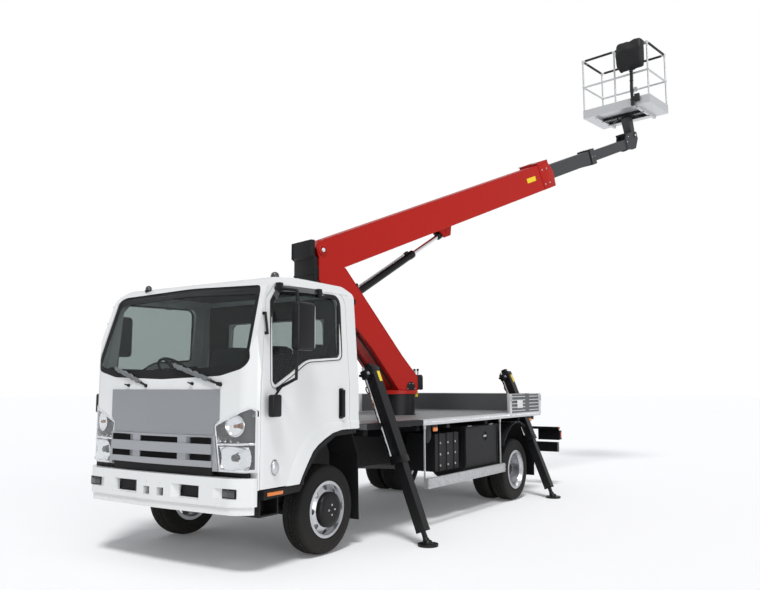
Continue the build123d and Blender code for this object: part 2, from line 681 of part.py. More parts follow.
def bumper():
    """Front bumper that wraps the corners, with its openings, fog lamp recesses and plate bolt holes."""
    half = BUMPER_HALF
    outer = [(-half, BUMPER_REAR, 0), (-half, -975, 60), (-850, -1085, 160), (0, BUMPER_FRONT - 6, 4000),
             (850, -1085, 160), (half, -975, 60), (half, BUMPER_REAR, 0)]
    inner = [(-half + BUMPER_T, -700), (-half + BUMPER_T, -950), (-825, -1022), (-400, BUMPER_FRONT + BUMPER_T),
             (400, BUMPER_FRONT + BUMPER_T), (825, -1022), (half - BUMPER_T, -950), (half - BUMPER_T, -700)]
    plan = rounded(outer)
    body = plan_prism(plan, BUMPER_BOTTOM + 62, BUMPER_TOP)
    lip = offset(plan, amount=-BUMPER_LIP, kind=Kind.INTERSECTION)
    body = body + plan_prism(lip, BUMPER_BOTTOM, BUMPER_BOTTOM + 63)
    body = body - plan_prism(outline(inner), BUMPER_BOTTOM - 1, BUMPER_TOP + 1)
    front = BUMPER_FRONT - 50
    for side in (-1, 1):
        # Air opening, square hole and bolt hole
        near, far = sorted((side * 265, side * 505))
        body = body - block(near, far, front, BUMPER_FRONT + 90, 575, 668)
        near, far = sorted((side * 45, side * 122))
        body = body - block(near, far, front, BUMPER_FRONT + 90, 568, 634)
        x = side * PLATE_BOLT_SPAN / 2
        body = body - rod((x, front, PLATE_BOLT_Z), (x, BUMPER_FRONT + 90, PLATE_BOLT_Z), PLATE_BOLT_R)
    mouth = plan_prism(outline([(205, front), (205, BUMPER_FRONT + 2), (265, BUMPER_FRONT + 42),
                                (505, BUMPER_FRONT + 42), (518, BUMPER_FRONT + 6), (518, front)]), 567, 676)
    recess = plan_prism(outline([(655, front), (655, BUMPER_FRONT + 21), (735, FOG_FACE), (885, FOG_FACE),
                                 (885, front)]), 590, 668)
    for cut in (mouth, recess):
        body = body - cut - mirrored(cut)
    brackets = [block(x - 30, x + 30, BUMPER_FRONT + 40, FRAME_FRONT, 690, 735) for x in (-365, 365)]
    return fused([body, *brackets])


def cab_steps():
    """Black side sills with a step, the arch lip behind them, and the mudguard with its flap."""
    top = CAB_SILL - 6
    step = block(760, CAB_HALF - 55, -872, -650, 432, top - 30)
    step = step - block(800, CAB_HALF, -858, -664, 446, top - 44)
    sill = side_prism(outline([(-872, top), (-455, top), (-412, top + 50), (-412, top - 20), (-440, top - 52),
                               (-872, top - 74)]), 880, CAB_HALF - 4)
    lip = side_prism(outline([(-445, top - 4), (-405, top - 4), (-400, 690), (-232, 888), (32, 1014), (340, 1022),
                              (340, CAB_FLOOR_REAR - 9), (24, CAB_FLOOR_REAR - 9), (-262, 916), (-431, 698)]),
                     CAB_HALF - 60, CAB_HALF + 8)
    guard = side_prism(outline([(328, 1030), (336, 1050), (346, 1050), (452, 824), (468, 232), (458, 232),
                                (443, 820), (342, 1030)]), 620, CAB_HALF - 50)
    return step + sill + lip + guard


def seats():
    """Driver's seat and passenger bench on the raised floor."""
    floor = CAB_FLOOR_REAR + CAB_WALL
    solids = []
    for x0, x1 in ((-780, -240), (-200, 780)):
        cushion = block(x0, x1, -330, 190, floor, floor + 190)
        back = side_prism(outline([(150, floor + 150), (250, floor + 150), (320, floor + 760),
                                   (220, floor + 760)]), x0, x1)
        solids.append(cushion + back)
    return Compound([s for solid in solids for s in solid.solids()])


def dashboard():
    """Dash body with the steering column and wheel."""
    dash = side_prism(outline([(-1000, 1200), (-990, 1460), (-760, 1500), (-700, 1440), (-720, 1200),
                               (-800, 1100)]), -920, 920)
    dash = dash & cab_form(CAB_WALL + 25)
    x = STEERING_X
    column = rod((x, -820, 1190), (x, -508, 1572), 30)
    rim_plane = Plane(origin=(x, -505, 1575), z_dir=(0, 280, 310))
    wheel = rim_plane * Torus(190, 14)
    spokes = rim_plane * (Box(384, 34, 16) + Cylinder(58, 34))
    return fused([dash, column, spokes, wheel])


def engine_block():
    """Engine as one plain block at its place between the rails."""
    return block(-260, 260, -230, 460, 490, 930)


def prop_shaft():
    """Gearbox stub and shaft to the rear axle."""
    y = WHEELBASE - 268
    return fused([rod((0, 476, 690), (0, 980, 640), 110), rod((0, 960, 640), (0, y, TYRE_R + 4), 42)])


def exhaust():
    """Silencer and tail pipe under the right rail."""
    z = FRAME_BOTTOM - 45
    can = rod((-545, 1250, z), (-545, 2050, z), 115)
    pipe = rod((-545, 2040, z), (-545, 2700, z), 32)
    front = rod((-230, 462, z), (-230, 770, z), 34)
    down = rod((-230, 745, z), (-545, 1260, z), 31)
    return fused([can, pipe, down, front])


def side_boxes():
    """Battery box ahead of the toolbox, and the fuel tank on the other side."""
    battery = block(620, DECK_HALF - 66, BATTERY_FRONT, BATTERY_REAR, 530, 930)
    tank = block(66 - DECK_HALF, -684, 1570, 2500, 450, 870)
    tank = fillet(tank.edges().filter_by(Axis.Y), 45)
    return Compound([*battery.solids(), *tank.solids()])


def toolbox():
    """Open box behind the battery box; its lid is a separate piece."""
    body = block(560, DECK_HALF - 65, TOOLBOX_FRONT, TOOLBOX_REAR, 455, TOOLBOX_TOP)
    return body - block(585, DECK_HALF - 50, TOOLBOX_FRONT + 30, LID_REAR - 20, TOOLBOX_LIP, TOOLBOX_TOP - 25)


def toolbox_lid():
    """Lift-up lid of the toolbox with its latch recess, above the guard rail."""
    lid = block(LID_FACE - 22, LID_FACE, TOOLBOX_FRONT + 10, LID_REAR, TOOLBOX_LIP - 14, LID_TOP)
    latch_y = TOOLBOX_FRONT + 530
    return lid - rod((LID_FACE - 10, latch_y, 850), (LID_FACE + 20, latch_y, 850), 52)


def side_guards():
    """One guard rail each side on two posts."""
    pieces = [block(GUARD_X - 14, GUARD_X + 14, GUARD_FRONT, GUARD_REAR, 395, 500)]
    for y in (GUARD_FRONT + 25, LID_REAR + 30):
        pieces.append(block(GUARD_POST_X - 6, GUARD_POST_X + 6, y - 10, y + 10, 400,
                            DECK_TOP - DECK_EDGE_H - 1))
        pieces.append(block(GUARD_POST_X, GUARD_X, y - 10, y + 10, 405, 490))
    return both_sides(fused(pieces))


def deck():
    """Floor plate, edge band and headboard rail, cut for the outriggers and pedestal."""
    plate = block(-DECK_HALF, DECK_HALF, DECK_FRONT, DECK_REAR, DECK_TOP - DECK_T, DECK_TOP)
    edge = block(-DECK_HALF, DECK_HALF, DECK_FRONT, DECK_REAR, DECK_TOP - DECK_EDGE_H, DECK_TOP - 1)
    edge = edge - block(-DECK_HALF + DECK_EDGE_T, DECK_HALF - DECK_EDGE_T, DECK_FRONT + DECK_EDGE_T,
                        DECK_REAR - DECK_EDGE_T, 0, DECK_TOP)
    floor = plate + edge
    hole = Pos(0, SLEW_Y, DECK_TOP) * Cylinder(PEDESTAL_R + 6, 200)
    return floor - hole - leg_envelope(LEG_FRONT_FOOT, LEG_FRONT_Y) - leg_envelope(LEG_REAR_FOOT, LEG_REAR_Y)


def deck_boards():
    """Low boards round the rear part of the deck."""
    top = DECK_TOP + BOARD_H
    left = block(DECK_HALF - BOARD_T, DECK_HALF, BOARD_FRONT, DECK_REAR, DECK_TOP, top)
    right = block(-DECK_HALF, BOARD_T - DECK_HALF, BOARD_FRONT_RIGHT, DECK_REAR, DECK_TOP, top)
    rear = block(-DECK_HALF, DECK_HALF, DECK_REAR - BOARD_T, DECK_REAR, DECK_TOP, top)
    boards = fused([left, right, rear])
    return boards - leg_envelope(LEG_REAR_FOOT, LEG_REAR_Y)


def rear_mudguards():
    """Arched mudguards over the twin wheels, with their flaps."""
    x0 = REAR_INNER_HALF - 102
    x1 = REAR_OUTER_HALF + TYRE_W / 2 + 2
    arch = Pos(MUDGUARD_Y, TYRE_R, 0) * (make_face(Ellipse(MUDGUARD_HALF, MUDGUARD_RISE).wire()) - make_face(
        Ellipse(MUDGUARD_HALF - MUDGUARD_T, MUDGUARD_RISE - MUDGUARD_T).wire()))
    guard = side_prism(arch, x0, x1)
    guard = guard - block(x0 - 10, x1 + 10, MUDGUARD_Y - 600, MUDGUARD_Y, -300, MUDGUARD_LOW)
    guard = guard - block(x0 - 10, x1 + 10, MUDGUARD_Y - 10, MUDGUARD_Y + 600, -300, TYRE_R)
    rear = MUDGUARD_Y + MUDGUARD_HALF
    flap = block(x0 + 4, x1 - 4, rear - MUDGUARD_T, rear - 1, 250, TYRE_R + 10)
    top = TYRE_R + MUDGUARD_RISE
    bracket = block(FRAME_HALF, x0 + 30, MUDGUARD_Y - 25, MUDGUARD_Y + 25, top - 30, top - 4)
    return both_sides(fused([guard, flap, bracket]) - leg_envelope(LEG_REAR_FOOT, LEG_REAR_Y))


def rear_bars():
    """Light bar with its lamp plates and low under-run bar, on one pair of brackets."""
    pieces = [block(-1030, 1030, FRAME_REAR + 80, FRAME_REAR + 140, 805, 841),
              block(-1030, 1030, FRAME_REAR + 12, FRAME_REAR + 82, 488, 625)]
    for side in (-1, 1):
        near, far = sorted((side * (FRAME_HALF - 70), side * (FRAME_HALF - 12)))
        pieces.append(block(near, far, FRAME_REAR, FRAME_REAR + 90, 520, 830))
        near, far = sorted((side * 700, side * 1022))
        pieces.append(block(near, far, FRAME_REAR + 112, FRAME_REAR + 126, 650, 820))
    return fused(pieces)


def tail_lamps():
    """Lamp boxes behind the plates that hang from the light bar."""
    lamp = block(695, 1030, FRAME_REAR + 130, FRAME_REAR + 200, 656, 786)
    return both_sides(lamp)


# Turret and boom, drawn about the slewing axis with the boom along +Y

TURRET = Pos(0, SLEW_Y, 0) * Rot(0, 0, -SLEW_REST)
BOOM = TURRET * Pos(0, PIN_R_POS, PIN_Z) * Rot(BOOM_REST, 0, 0)
COLUMN_SIDE = [
    (190, RING_Z + 50), (190, 1560), (-60, 1810), (-960, 2810), (-1120, 3010), (-1195, 3090), (-1330, 3090),
    (-1370, 3000), (-1330, 2900), (-1330, 2640), (-545, 1890), (-120, RING_Z + 50)]
FORK_SIDE = [
    (300, 2300), (-520, 2080), (-1000, 1980), (-1800, 2300), (-1800, 3400), (300, 3400)]


def turret_base():
    """Pedestal on the subframe with the fixed half of the slewing ring."""
    z0 = DECK_TOP - DECK_T
    drum = Pos(0, SLEW_Y, (z0 + RING_Z - 30) / 2) * Cylinder(PEDESTAL_R - 10, RING_Z - 30 - z0)
    ring = Pos(0, SLEW_Y, RING_Z - 16) * Cylinder(RING_R - 2, 32)
    return fused([drum, ring])


def turret_column():
    """Turntable and the leaning box column with its forked head."""
    table = Pos(0, 0, RING_Z + RING_GAP + 22) * Cylinder(RING_R + 20, 44)
    shell = side_prism(outline(COLUMN_SIDE), -COLUMN_HALF, COLUMN_HALF)
    hollow = side_prism(offset(outline(COLUMN_SIDE), amount=-COLUMN_WALL, kind=Kind.INTERSECTION),
                        -COLUMN_HALF + COLUMN_WALL, COLUMN_HALF - COLUMN_WALL)
    fork = side_prism(outline(FORK_SIDE), -CHEEK_GAP, CHEEK_GAP)
    cheeks = side_prism(outline(COLUMN_SIDE), -COLUMN_HALF, COLUMN_HALF) & side_prism(
        outline(FORK_SIDE), -COLUMN_HALF, COLUMN_HALF)
    body = (shell - hollow) + cheeks - fork
    pin = rod((-COLUMN_HALF - 12, PIN_R_POS, PIN_Z), (COLUMN_HALF + 12, PIN_R_POS, PIN_Z), LUFF_PIN_R)
    return TURRET * fused([table, body, pin])


def turret_hood():
    """Black hose cover on the front of the head, and the valve block at the foot."""
    hood = side_prism(outline([(-1435, 3090), (-1387, 3090), (-1387, 2905), (-1345, 2885), (-1345, 2400),
                               (-1400, 2400), (-1400, 2880), (-1435, 2900)]), -198, 198)
    tie = block(-198, 198, -1346, -1331, 2660, 2780)
    valves = block(-120, 120, 196, 350, 1400, 1585)
    return Compound([*(TURRET * (hood + tie)).solids(), *(TURRET * valves).solids()])


def boom_outer():
    """Red outer section: tube with a chamfered tail, end collar and cylinder lugs."""
    side = outline([(-62, 55), (90, BOOM_TOP), (BOOM_END, BOOM_TOP), (BOOM_END + 90, -60),
                    (BOOM_END + 60, BOOM_BOTTOM), (230, BOOM_BOTTOM), (-62, -62)])
    body = side_prism(side, -BOOM_HALF, BOOM_HALF)
    hollow = block(-BOOM_HALF + BOOM_WALL, BOOM_HALF - BOOM_WALL, 230, BOOM_END - 60, BOOM_BOTTOM + BOOM_WALL,
                   BOOM_TOP - BOOM_WALL)
    throat = block(-MID_HALF - SECTION_CLEAR, MID_HALF + SECTION_CLEAR, BOOM_END - 100, BOOM_END + 200,
                   MID_BOTTOM - SECTION_CLEAR, MID_TOP + SECTION_CLEAR)
    collar = block(-BOOM_HALF - 8, BOOM_HALF + 8, BOOM_END - 280, BOOM_END - 6, BOOM_TOP - 4,
                   BOOM_TOP + COLLAR_PROUD)
    body = body + collar - hollow - throat
    bore = rod((-BOOM_HALF - 20, 0, 0), (BOOM_HALF + 20, 0, 0), LUFF_PIN_R + PIN_CLEAR)
    eye = eye_in_boom()
    for side_x in (-1, 1):
        near, far = sorted((side_x * 48, side_x * 74))
        lug = side_prism(outline([(eye.Y - 130, BOOM_BOTTOM + 6), (eye.Y - 60, eye.Z - 60),
                                  (eye.Y + 60, eye.Z - 60), (eye.Y + 130, BOOM_BOTTOM + 6)]), near, far)
        body = body + lug
    body = body + rod((-80, eye.Y, eye.Z), (80, eye.Y, eye.Z), CYL_PIN_R)
    return BOOM * (body - bore)


def eye_in_boom():
    """The rod eye's place in the boom's frame."""
    angle = math.radians(BOOM_REST)
    dr = EYE_R_POS - PIN_R_POS
    dz = EYE_Z - PIN_Z
    return Vector(0, dr * math.cos(angle) + dz * math.sin(angle), dz * math.cos(angle) - dr * math.sin(angle))


def telescope(half, bottom, top, start, end, wall):
    """A square hollow section with a collar on its outer end."""
    tube = block(-half, half, start, end, bottom, top)
    tube = tube - block(-half + wall, half - wall, start - 1, end + 1, bottom + wall, top - wall)
    return tube


def boom_mid():
    """Middle telescopic section with its end collar."""
    body = telescope(MID_HALF, MID_BOTTOM, MID_TOP, MID_START, MID_END, MID_WALL)
    collar = block(-MID_HALF - 14, MID_HALF + 14, MID_END - 110, MID_END + 20, MID_BOTTOM - 22, MID_TOP + 24)
    hole = block(-FLY_HALF - SECTION_CLEAR, FLY_HALF + SECTION_CLEAR, MID_END - 200, MID_END + 30,
                 FLY_BOTTOM - SECTION_CLEAR, FLY_TOP + SECTION_CLEAR)
    return BOOM * (body + collar - hole)


def boom_fly():
    """Last section with the forked head that holds the basket pin."""
    body = telescope(FLY_HALF, FLY_BOTTOM, FLY_TOP, FLY_START, FLY_END, FLY_WALL)
    cheek_face = outline([(FLY_END - 190, FLY_TOP - 2), (FLY_END - 140, 110), (HEAD_PIN_ALONG - 40, 130),
                          (HEAD_PIN_ALONG + 75, 90), (HEAD_PIN_ALONG + 75, -30), (FLY_END + 90, FLY_BOTTOM - 40),
                          (FLY_END - 40, FLY_BOTTOM - 40), (FLY_END - 190, FLY_BOTTOM)])
    cheek = side_prism(cheek_face, FLY_HALF - 4, FLY_HALF + 14)
    plate = block(-FLY_HALF, FLY_HALF, FLY_END, FLY_END + 12, FLY_BOTTOM - 30, FLY_TOP - 60)
    pin = rod((-FLY_HALF - 22, HEAD_PIN_ALONG, HEAD_PIN_PERP), (FLY_HALF + 22, HEAD_PIN_ALONG, HEAD_PIN_PERP),
              HEAD_PIN_R)
    return BOOM * fused([body, cheek, mirrored(cheek), plate, pin])


def cylinder_place():
    """Frame of the luff cylinder: origin at the rod's eye, +Y towards the foot."""
    dr = FOOT_R_POS - EYE_R_POS
    dz = FOOT_Z - EYE_Z
    return TURRET * Pos(0, EYE_R_POS, EYE_Z) * Rot(math.degrees(math.atan2(dz, dr)), 0, 0)


def cylinder_rod():
    """Chrome rod with its eye."""
    shaft = rod((0, 40, 0), (0, ROD_LEN, 0), ROD_R)
    eye = rod((-40, 0, 0), (40, 0, 0), CYL_EYE_R) - rod((-60, 0, 0), (60, 0, 0), CYL_PIN_R + PIN_CLEAR)
    return cylinder_place() * (shaft + eye)


def cylinder_barrel():
    """Barrel with its gland ring, foot eye and port block."""
    length = math.hypot(EYE_R_POS - FOOT_R_POS, EYE_Z - FOOT_Z)
    tube = rod((0, length - BARREL_LEN, 0), (0, length - 30, 0), BARREL_R)
    gland = rod((0, length - BARREL_LEN - 1, 0), (0, length - BARREL_LEN + 70, 0), BARREL_R + 4)
    foot = rod((-55, length, 0), (55, length, 0), 58)
    port = block(-48, 48, length - 320, length - 145, -110, 70)
    bore = rod((0, length - BARREL_LEN - 5, 0), (0, length - 85, 0), ROD_R + 1)
    chamber = rod((0, length - BARREL_LEN + 60, 0), (0, length - 85, 0), BARREL_R - BARREL_WALL)
    return cylinder_place() * (fused([tube, gland, foot, port]) - bore - chamber)


def head_pin():
    """Basket levelling pin in the turret's frame."""
    angle = math.radians(BOOM_REST)
    r = PIN_R_POS + HEAD_PIN_ALONG * math.cos(angle) - HEAD_PIN_PERP * math.sin(angle)
    z = PIN_Z + HEAD_PIN_ALONG * math.sin(angle) + HEAD_PIN_PERP * math.cos(angle)
    return r, z


HEAD_R_POS, HEAD_Z = head_pin()
TURN_R_POS = HEAD_R_POS - TURN_BACK
BASKET_FLOOR_Z = HEAD_Z + BASKET_RISE


def basket_bracket():
    """Level bracket: lug on the head pin, neck and the fixed half of the turn ring."""
    r = HEAD_R_POS
    z = HEAD_Z
    half = FLY_HALF - 10
    lug = rod((-half, r, z), (half, r, z), 60)
    neck = side_prism(outline([(r - 55, z), (r + 55, z), (TURN_R_POS + 80, BASKET_FLOOR_Z - 50),
                               (TURN_R_POS - 80, BASKET_FLOOR_Z - 50)]), -half, half)
    ring = Pos(0, TURN_R_POS, BASKET_FLOOR_Z - 36) * Cylinder(TURN_RING_R, 36)
    bore = rod((-half - 10, r, z), (half + 10, r, z), HEAD_PIN_R + PIN_CLEAR)
    return TURRET * (fused([lug, neck, ring]) - bore)


BASKET = TURRET * Pos(0, TURN_R_POS, BASKET_FLOOR_Z) * Rot(0, 0, BASKET_TURN) * Pos(
    0, TURN_BACK - BASKET_BACK, 0)


def basket_frame():
    """Floor, toe boards, posts and rails, with the turn ring's moving half."""
    hl = BASKET_LEN / 2
    hd = BASKET_DEPTH / 2
    t = BASKET_TUBE
    floor = block(-hl, hl, -hd, hd, 0, 30)
    toe = block(-hl, hl, -hd, hd, 29, TOE_H) - block(-hl + 6, hl - 6, -hd + 6, hd - 6, 0, TOE_H + 1)
    ring = Pos(0, BASKET_BACK - TURN_BACK, -6) * Cylinder(TURN_RING_R - 10, 14)
    beams = [block(x - 20, x + 20, -hd + 20, hd - 20, -45, 1) for x in (-380, 380)]
    pieces = [floor, toe, ring, *beams]
    posts = [(x * (hl - t), y * (hd - t)) for x in (-1, 0, 1) for y in (-1, 1)]
    for x, y in posts:
        pieces.append(rod((x, y, 20), (x, y, BASKET_H - 4), t - 2))
    for z in (BASKET_H / 2 + 40, BASKET_H - t):
        for y in (-1, 1):
            pieces.append(rod((-hl, y * (hd - t), z), (hl, y * (hd - t), z), t))
        for x in (-1, 1):
            pieces.append(rod((x * (hl - t), -hd, z), (x * (hl - t), hd, z), t - 1))
    for x in (CONTROLS_X - 170, CONTROLS_X + 170):
        pieces.append(block(x - 25, x + 25, -hd + t - CONTROLS_GAP, -hd + t, BASKET_H - 30, BASKET_H - 6))
    return BASKET * fused(pieces)


def basket_controls():
    """Control box under its domed cover on the inner long rail, with the hose bundle down to the turn ring."""
    rail = -BASKET_DEPTH / 2 + BASKET_TUBE
    low = BASKET_H / 2 + 80
    back = rail - CONTROLS_GAP
    x = CONTROLS_X
    side = rounded([(rail - 165, low + 20, 30), (back, low - 20, 20), (back, BASKET_H + 6, 0),
                    (rail + 150, BASKET_H + 6, 10), (rail + 118, BASKET_H + 48, 25),
                    (rail - 120, BASKET_H + 62, 60), (rail - 190, low + 330, 90)])
    cover = side_prism(side, x - CONTROLS_HALF, x + CONTROLS_HALF)
    outer = -BASKET_DEPTH / 2 - 44
    bundle = rod((x, outer, -4), (x, outer, low + 10), 34)
    junction = block(x + 40, x + 125, outer - 10, outer + 38, 60, 190)
    link = block(x + 20, x + 60, outer - 12, outer + 12, 100, 150)
    return BASKET * fused([cover, bundle, junction, link])


LEG_TABLE = (("front", LEG_FRONT_FOOT, LEG_FRONT_Y), ("rear", LEG_REAR_FOOT, LEG_REAR_Y))


def all_nodes():
    """Every node's name and shape in the working frame."""
    nodes = {
        "chassis_frame": chassis_frame(), "subframe": subframe(), "front_axle": front_axle(),
        "rear_axle": rear_axle(), "engine_block": engine_block(), "prop_shaft": prop_shaft(),
        "exhaust": exhaust(), "side_boxes": side_boxes(), "toolbox": toolbox(), "toolbox_lid": toolbox_lid(),
        "side_guards": side_guards(), "deck": deck(), "deck_boards": deck_boards(),
        "rear_mudguards": rear_mudguards(), "rear_bars": rear_bars(), "tail_lamps": tail_lamps(),
        "cab_shell": cab_shell(), "cab_glass": cab_glass(), "front_panel": front_panel(), "grille": grille(),
        "headlamps": both_sides(headlamp_left()), "bumper": bumper(), "cab_steps": both_sides(cab_steps()),
        "seats": seats(), "dashboard": dashboard(), "tie_rod": tie_rod(), "turret_base": turret_base(),
        "turret_column": turret_column(), "turret_hood": turret_hood(), "boom_outer": boom_outer(),
        "boom_mid": boom_mid(), "boom_fly": boom_fly(), "cylinder_rod": cylinder_rod(),
        "cylinder_barrel": cylinder_barrel(), "basket_bracket": basket_bracket(),
        "basket_frame": basket_frame(), "basket_controls": basket_controls()}
    front_rim, front_tyre = front_wheel()
    rear_rims, rear_tyres = twin_wheels()
    left_pieces = {
        "door": door_left(), "door_glass": door_glass_left(), "mirror": mirror_left(), "knuckle": knuckle(),
        "rim_front": front_rim, "tyre_front": front_tyre, "rims_rear": rear_rims, "tyres_rear": rear_tyres}
    for end, foot, y in LEG_TABLE:
        nodes["outriggers_" + end] = outrigger_pair(foot, y)
        left_pieces["leg_" + end] = outrigger_leg(foot, y)
    for name, shape in left_pieces.items():
        nodes[name + "_left"] = shape
        nodes[name + "_right"] = mirrored(shape)
    return nodes


def origin_shift(nodes):
    """Where the middle of the whole box is, in plan."""
    boxes = [shape.bounding_box() for shape in nodes.values()]
    x = (min(b.min.X for b in boxes) + max(b.max.X for b in boxes)) / 2
    y = (min(b.min.Y for b in boxes) + max(b.max.Y for b in boxes)) / 2
    return x, y


NODES = all_nodes()
SHIFT_X, SHIFT_Y = origin_shift(NODES)
for node_name, node_shape in NODES.items():
    placed = [Pos(-SHIFT_X, -SHIFT_Y, 0) * solid for solid in node_shape.solids()]
    export_step(Compound(placed), "parts/" + node_name + ".step")
print("origin shift", round(SHIFT_X, 3), round(SHIFT_Y, 3))
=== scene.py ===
"""Looks of the platform truck: finishes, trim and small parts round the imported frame."""
import math

import bmesh
import bpy
from mathutils import Matrix, Vector
from mathutils.bvhtree import BVHTree


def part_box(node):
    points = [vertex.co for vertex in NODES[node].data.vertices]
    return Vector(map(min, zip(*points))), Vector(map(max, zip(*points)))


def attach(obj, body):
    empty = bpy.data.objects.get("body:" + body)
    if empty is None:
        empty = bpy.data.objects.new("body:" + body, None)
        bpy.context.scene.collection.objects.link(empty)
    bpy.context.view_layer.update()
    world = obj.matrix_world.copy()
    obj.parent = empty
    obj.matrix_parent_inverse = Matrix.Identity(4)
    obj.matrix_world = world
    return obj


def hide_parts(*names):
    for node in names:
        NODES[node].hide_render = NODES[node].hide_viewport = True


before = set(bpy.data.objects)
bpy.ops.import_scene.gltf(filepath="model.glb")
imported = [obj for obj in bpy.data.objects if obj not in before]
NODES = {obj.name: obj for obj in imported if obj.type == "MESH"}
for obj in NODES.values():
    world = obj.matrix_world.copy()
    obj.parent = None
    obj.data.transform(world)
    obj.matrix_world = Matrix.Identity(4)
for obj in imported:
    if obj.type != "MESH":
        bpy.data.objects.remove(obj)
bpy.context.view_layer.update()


def shift(x, y, z, turn=0.0, axis="Z"):
    """A frame at a point, turned by degrees about one of its axes."""
    return Matrix.Translation((x, y, z)) @ Matrix.Rotation(math.radians(turn), 4, axis)


def along_x(x, y, z, sign=1):
    """A frame at a point whose Z is the truck's +X or -X."""
    return shift(x, y, z, 90 * sign, "Y")


# Places below are in the truck's own metres: +X its left, -Y its front, origin on the ground under the front axle.
FRONT_TYRE_X = 0.840
REAR_OUTER_X = 0.948
REAR_INNER_X = 0.702
AXLE_Z = 0.3835
WHEELBASE = 3.815
DECK_TOP = 1.097
CONTROLS_X = 0.330
LEG_TILT = 21.5
LEGS = (("front", 1.496, 0.785), ("rear", 1.380, 4.235))
SIDES = (("left", 1), ("right", -1))

tyre_low, tyre_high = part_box("tyre_front_left")
TRUCK = Vector((FRONT_TYRE_X - (tyre_low.x + tyre_high.x) / 2, -(tyre_low.y + tyre_high.y) / 2, 0))
TO_FRAME = Matrix.Translation(-TRUCK)
MIRROR = Matrix.Diagonal((-1, 1, 1, 1))
TURRET = shift(0, 2.600, 0, -15.5)
BOOM = TURRET @ shift(0, -1.280, 2.980, 22.3, "X")
ROD_EYE = Vector((0, 0.870, 3.495))
BARREL_FOOT = Vector((0, -0.860, 2.410))
CYLINDER_LENGTH = (BARREL_FOOT - ROD_EYE).length
CYLINDER = TURRET @ shift(*ROD_EYE, math.degrees(math.atan2(BARREL_FOOT.z - ROD_EYE.z, BARREL_FOOT.y - ROD_EYE.y)), "X")
BASKET = TURRET @ shift(0, 5.640, 6.250, 6) @ shift(0, -0.040, 0)


# Forms: each returns a closed bmesh in metres

def bevelled(part, edges, soft, steps=2):
    if soft:
        bmesh.ops.bevel(part, geom=edges, offset=soft, segments=steps, profile=0.5, affect="EDGES")
    return part


def form_box(x0, x1, y0, y1, z0, z1, soft=0.0, steps=2):
    part = bmesh.new()
    bmesh.ops.create_cube(part, size=1.0)
    spans = [sorted(ends) for ends in ((x0, x1), (y0, y1), (z0, z1))]
    for vert in part.verts:
        vert.co = [span[c > 0] for span, c in zip(spans, vert.co)]
    return bevelled(part, part.edges[:], soft, steps)


def form_bar(start, end, radius, sides=16, end_radius=None, soft=0.0):
    a, b = Vector(start), Vector(end)
    part = bmesh.new()
    bmesh.ops.create_cone(part, cap_ends=True, segments=sides, radius1=radius,
                          radius2=radius if end_radius is None else end_radius, depth=(b - a).length)
    bevelled(part, [e for e in part.edges if any(len(f.verts) > 4 for f in e.link_faces)], soft)
    part.transform(Matrix.Translation((a + b) / 2) @ (b - a).to_track_quat("Z", "Y").to_matrix().to_4x4())
    return part


def stitch(part, one, two):
    """Faces between two rings of vertices; a ring of one vertex closes to a point."""
    count = max(len(one), len(two))
    for i in range(count):
        j = (i + 1) % count
        corners = [one[i % len(one)], one[j % len(one)], two[j % len(two)], two[i % len(two)]]
        part.faces.new(list(dict.fromkeys(corners)))


def form_turned(profile, sides=32, place=None):
    """Turn a profile of (radius, height) rows about Z; a row of radius 0 closes the end."""
    part = bmesh.new()
    rings = []
    for radius, height in profile:
        angles = [2 * math.pi * i / sides for i in range(sides if radius else 1)]
        rings.append([part.verts.new((radius * math.cos(a), radius * math.sin(a), height)) for a in angles])
    for one, two in zip(rings, rings[1:]):
        stitch(part, one, two)
    if place is not None:
        part.transform(place)
    return part


def form_skin(rows):
    """A closed skin over rows of points, each row a loop, with a face over both ends."""
    part = bmesh.new()
    rings = [[part.verts.new(p) for p in row] for row in rows]
    for one, two in zip(rings, rings[1:]):
        stitch(part, one, two)
    part.faces.new(reversed(rings[0]))
    part.faces.new(rings[-1])
    return part


def form_slab(outline, axis, low, high, soft=0.0):
    """A flat outline pushed along an axis; its points are (y, z), (x, z) or (x, y)."""
    at = "XYZ".index(axis)
    part = form_skin([[(*p[:at], depth, *p[at:]) for p in outline] for depth in (low, high)])
    bmesh.ops.recalc_face_normals(part, faces=part.faces)
    return bevelled(part, [e for e in part.edges if any(len(f.verts) == len(outline) for f in e.link_faces)], soft)


def form_run(points, radius, sides=8, rounds=0, flat=1.0, lengthwise=None):
    """A tube along points; flat squeezes it, lengthwise gives a radius factor along it."""
    path = eased(points, rounds)
    side = None
    rings = []
    for i, here in enumerate(path):
        ahead = (path[min(i + 1, len(path) - 1)] - path[max(i - 1, 0)]).normalized()
        if side is None:
            side = (ahead.orthogonal() if abs(ahead.z) > 0.9 else ahead.cross(Vector((0, 0, 1)))).normalized()
        side = (side - ahead * side.dot(ahead)).normalized()
        up = ahead.cross(side)
        size = radius * (lengthwise(i / (len(path) - 1)) if lengthwise else 1)
        angles = [2 * math.pi * k / sides for k in range(sides)]
        rings.append([here + side * (math.cos(a) * size * flat) + up * (math.sin(a) * size) for a in angles])
    return form_skin(rings)


def form_band(outer, inner, place_at, thick):
    """A closed frame between two outlines of equal length; place_at gives a point for its distance outwards."""
    part = bmesh.new()
    loops = [[part.verts.new(place_at(u, v, out)) for u, v in outline]
             for outline, out in ((outer, thick), (inner, thick), (inner, -thick), (outer, -thick))]
    for one, two in zip(loops, loops[1:] + loops[:1]):
        stitch(part, one, two)
    return part


# Outlines and paths

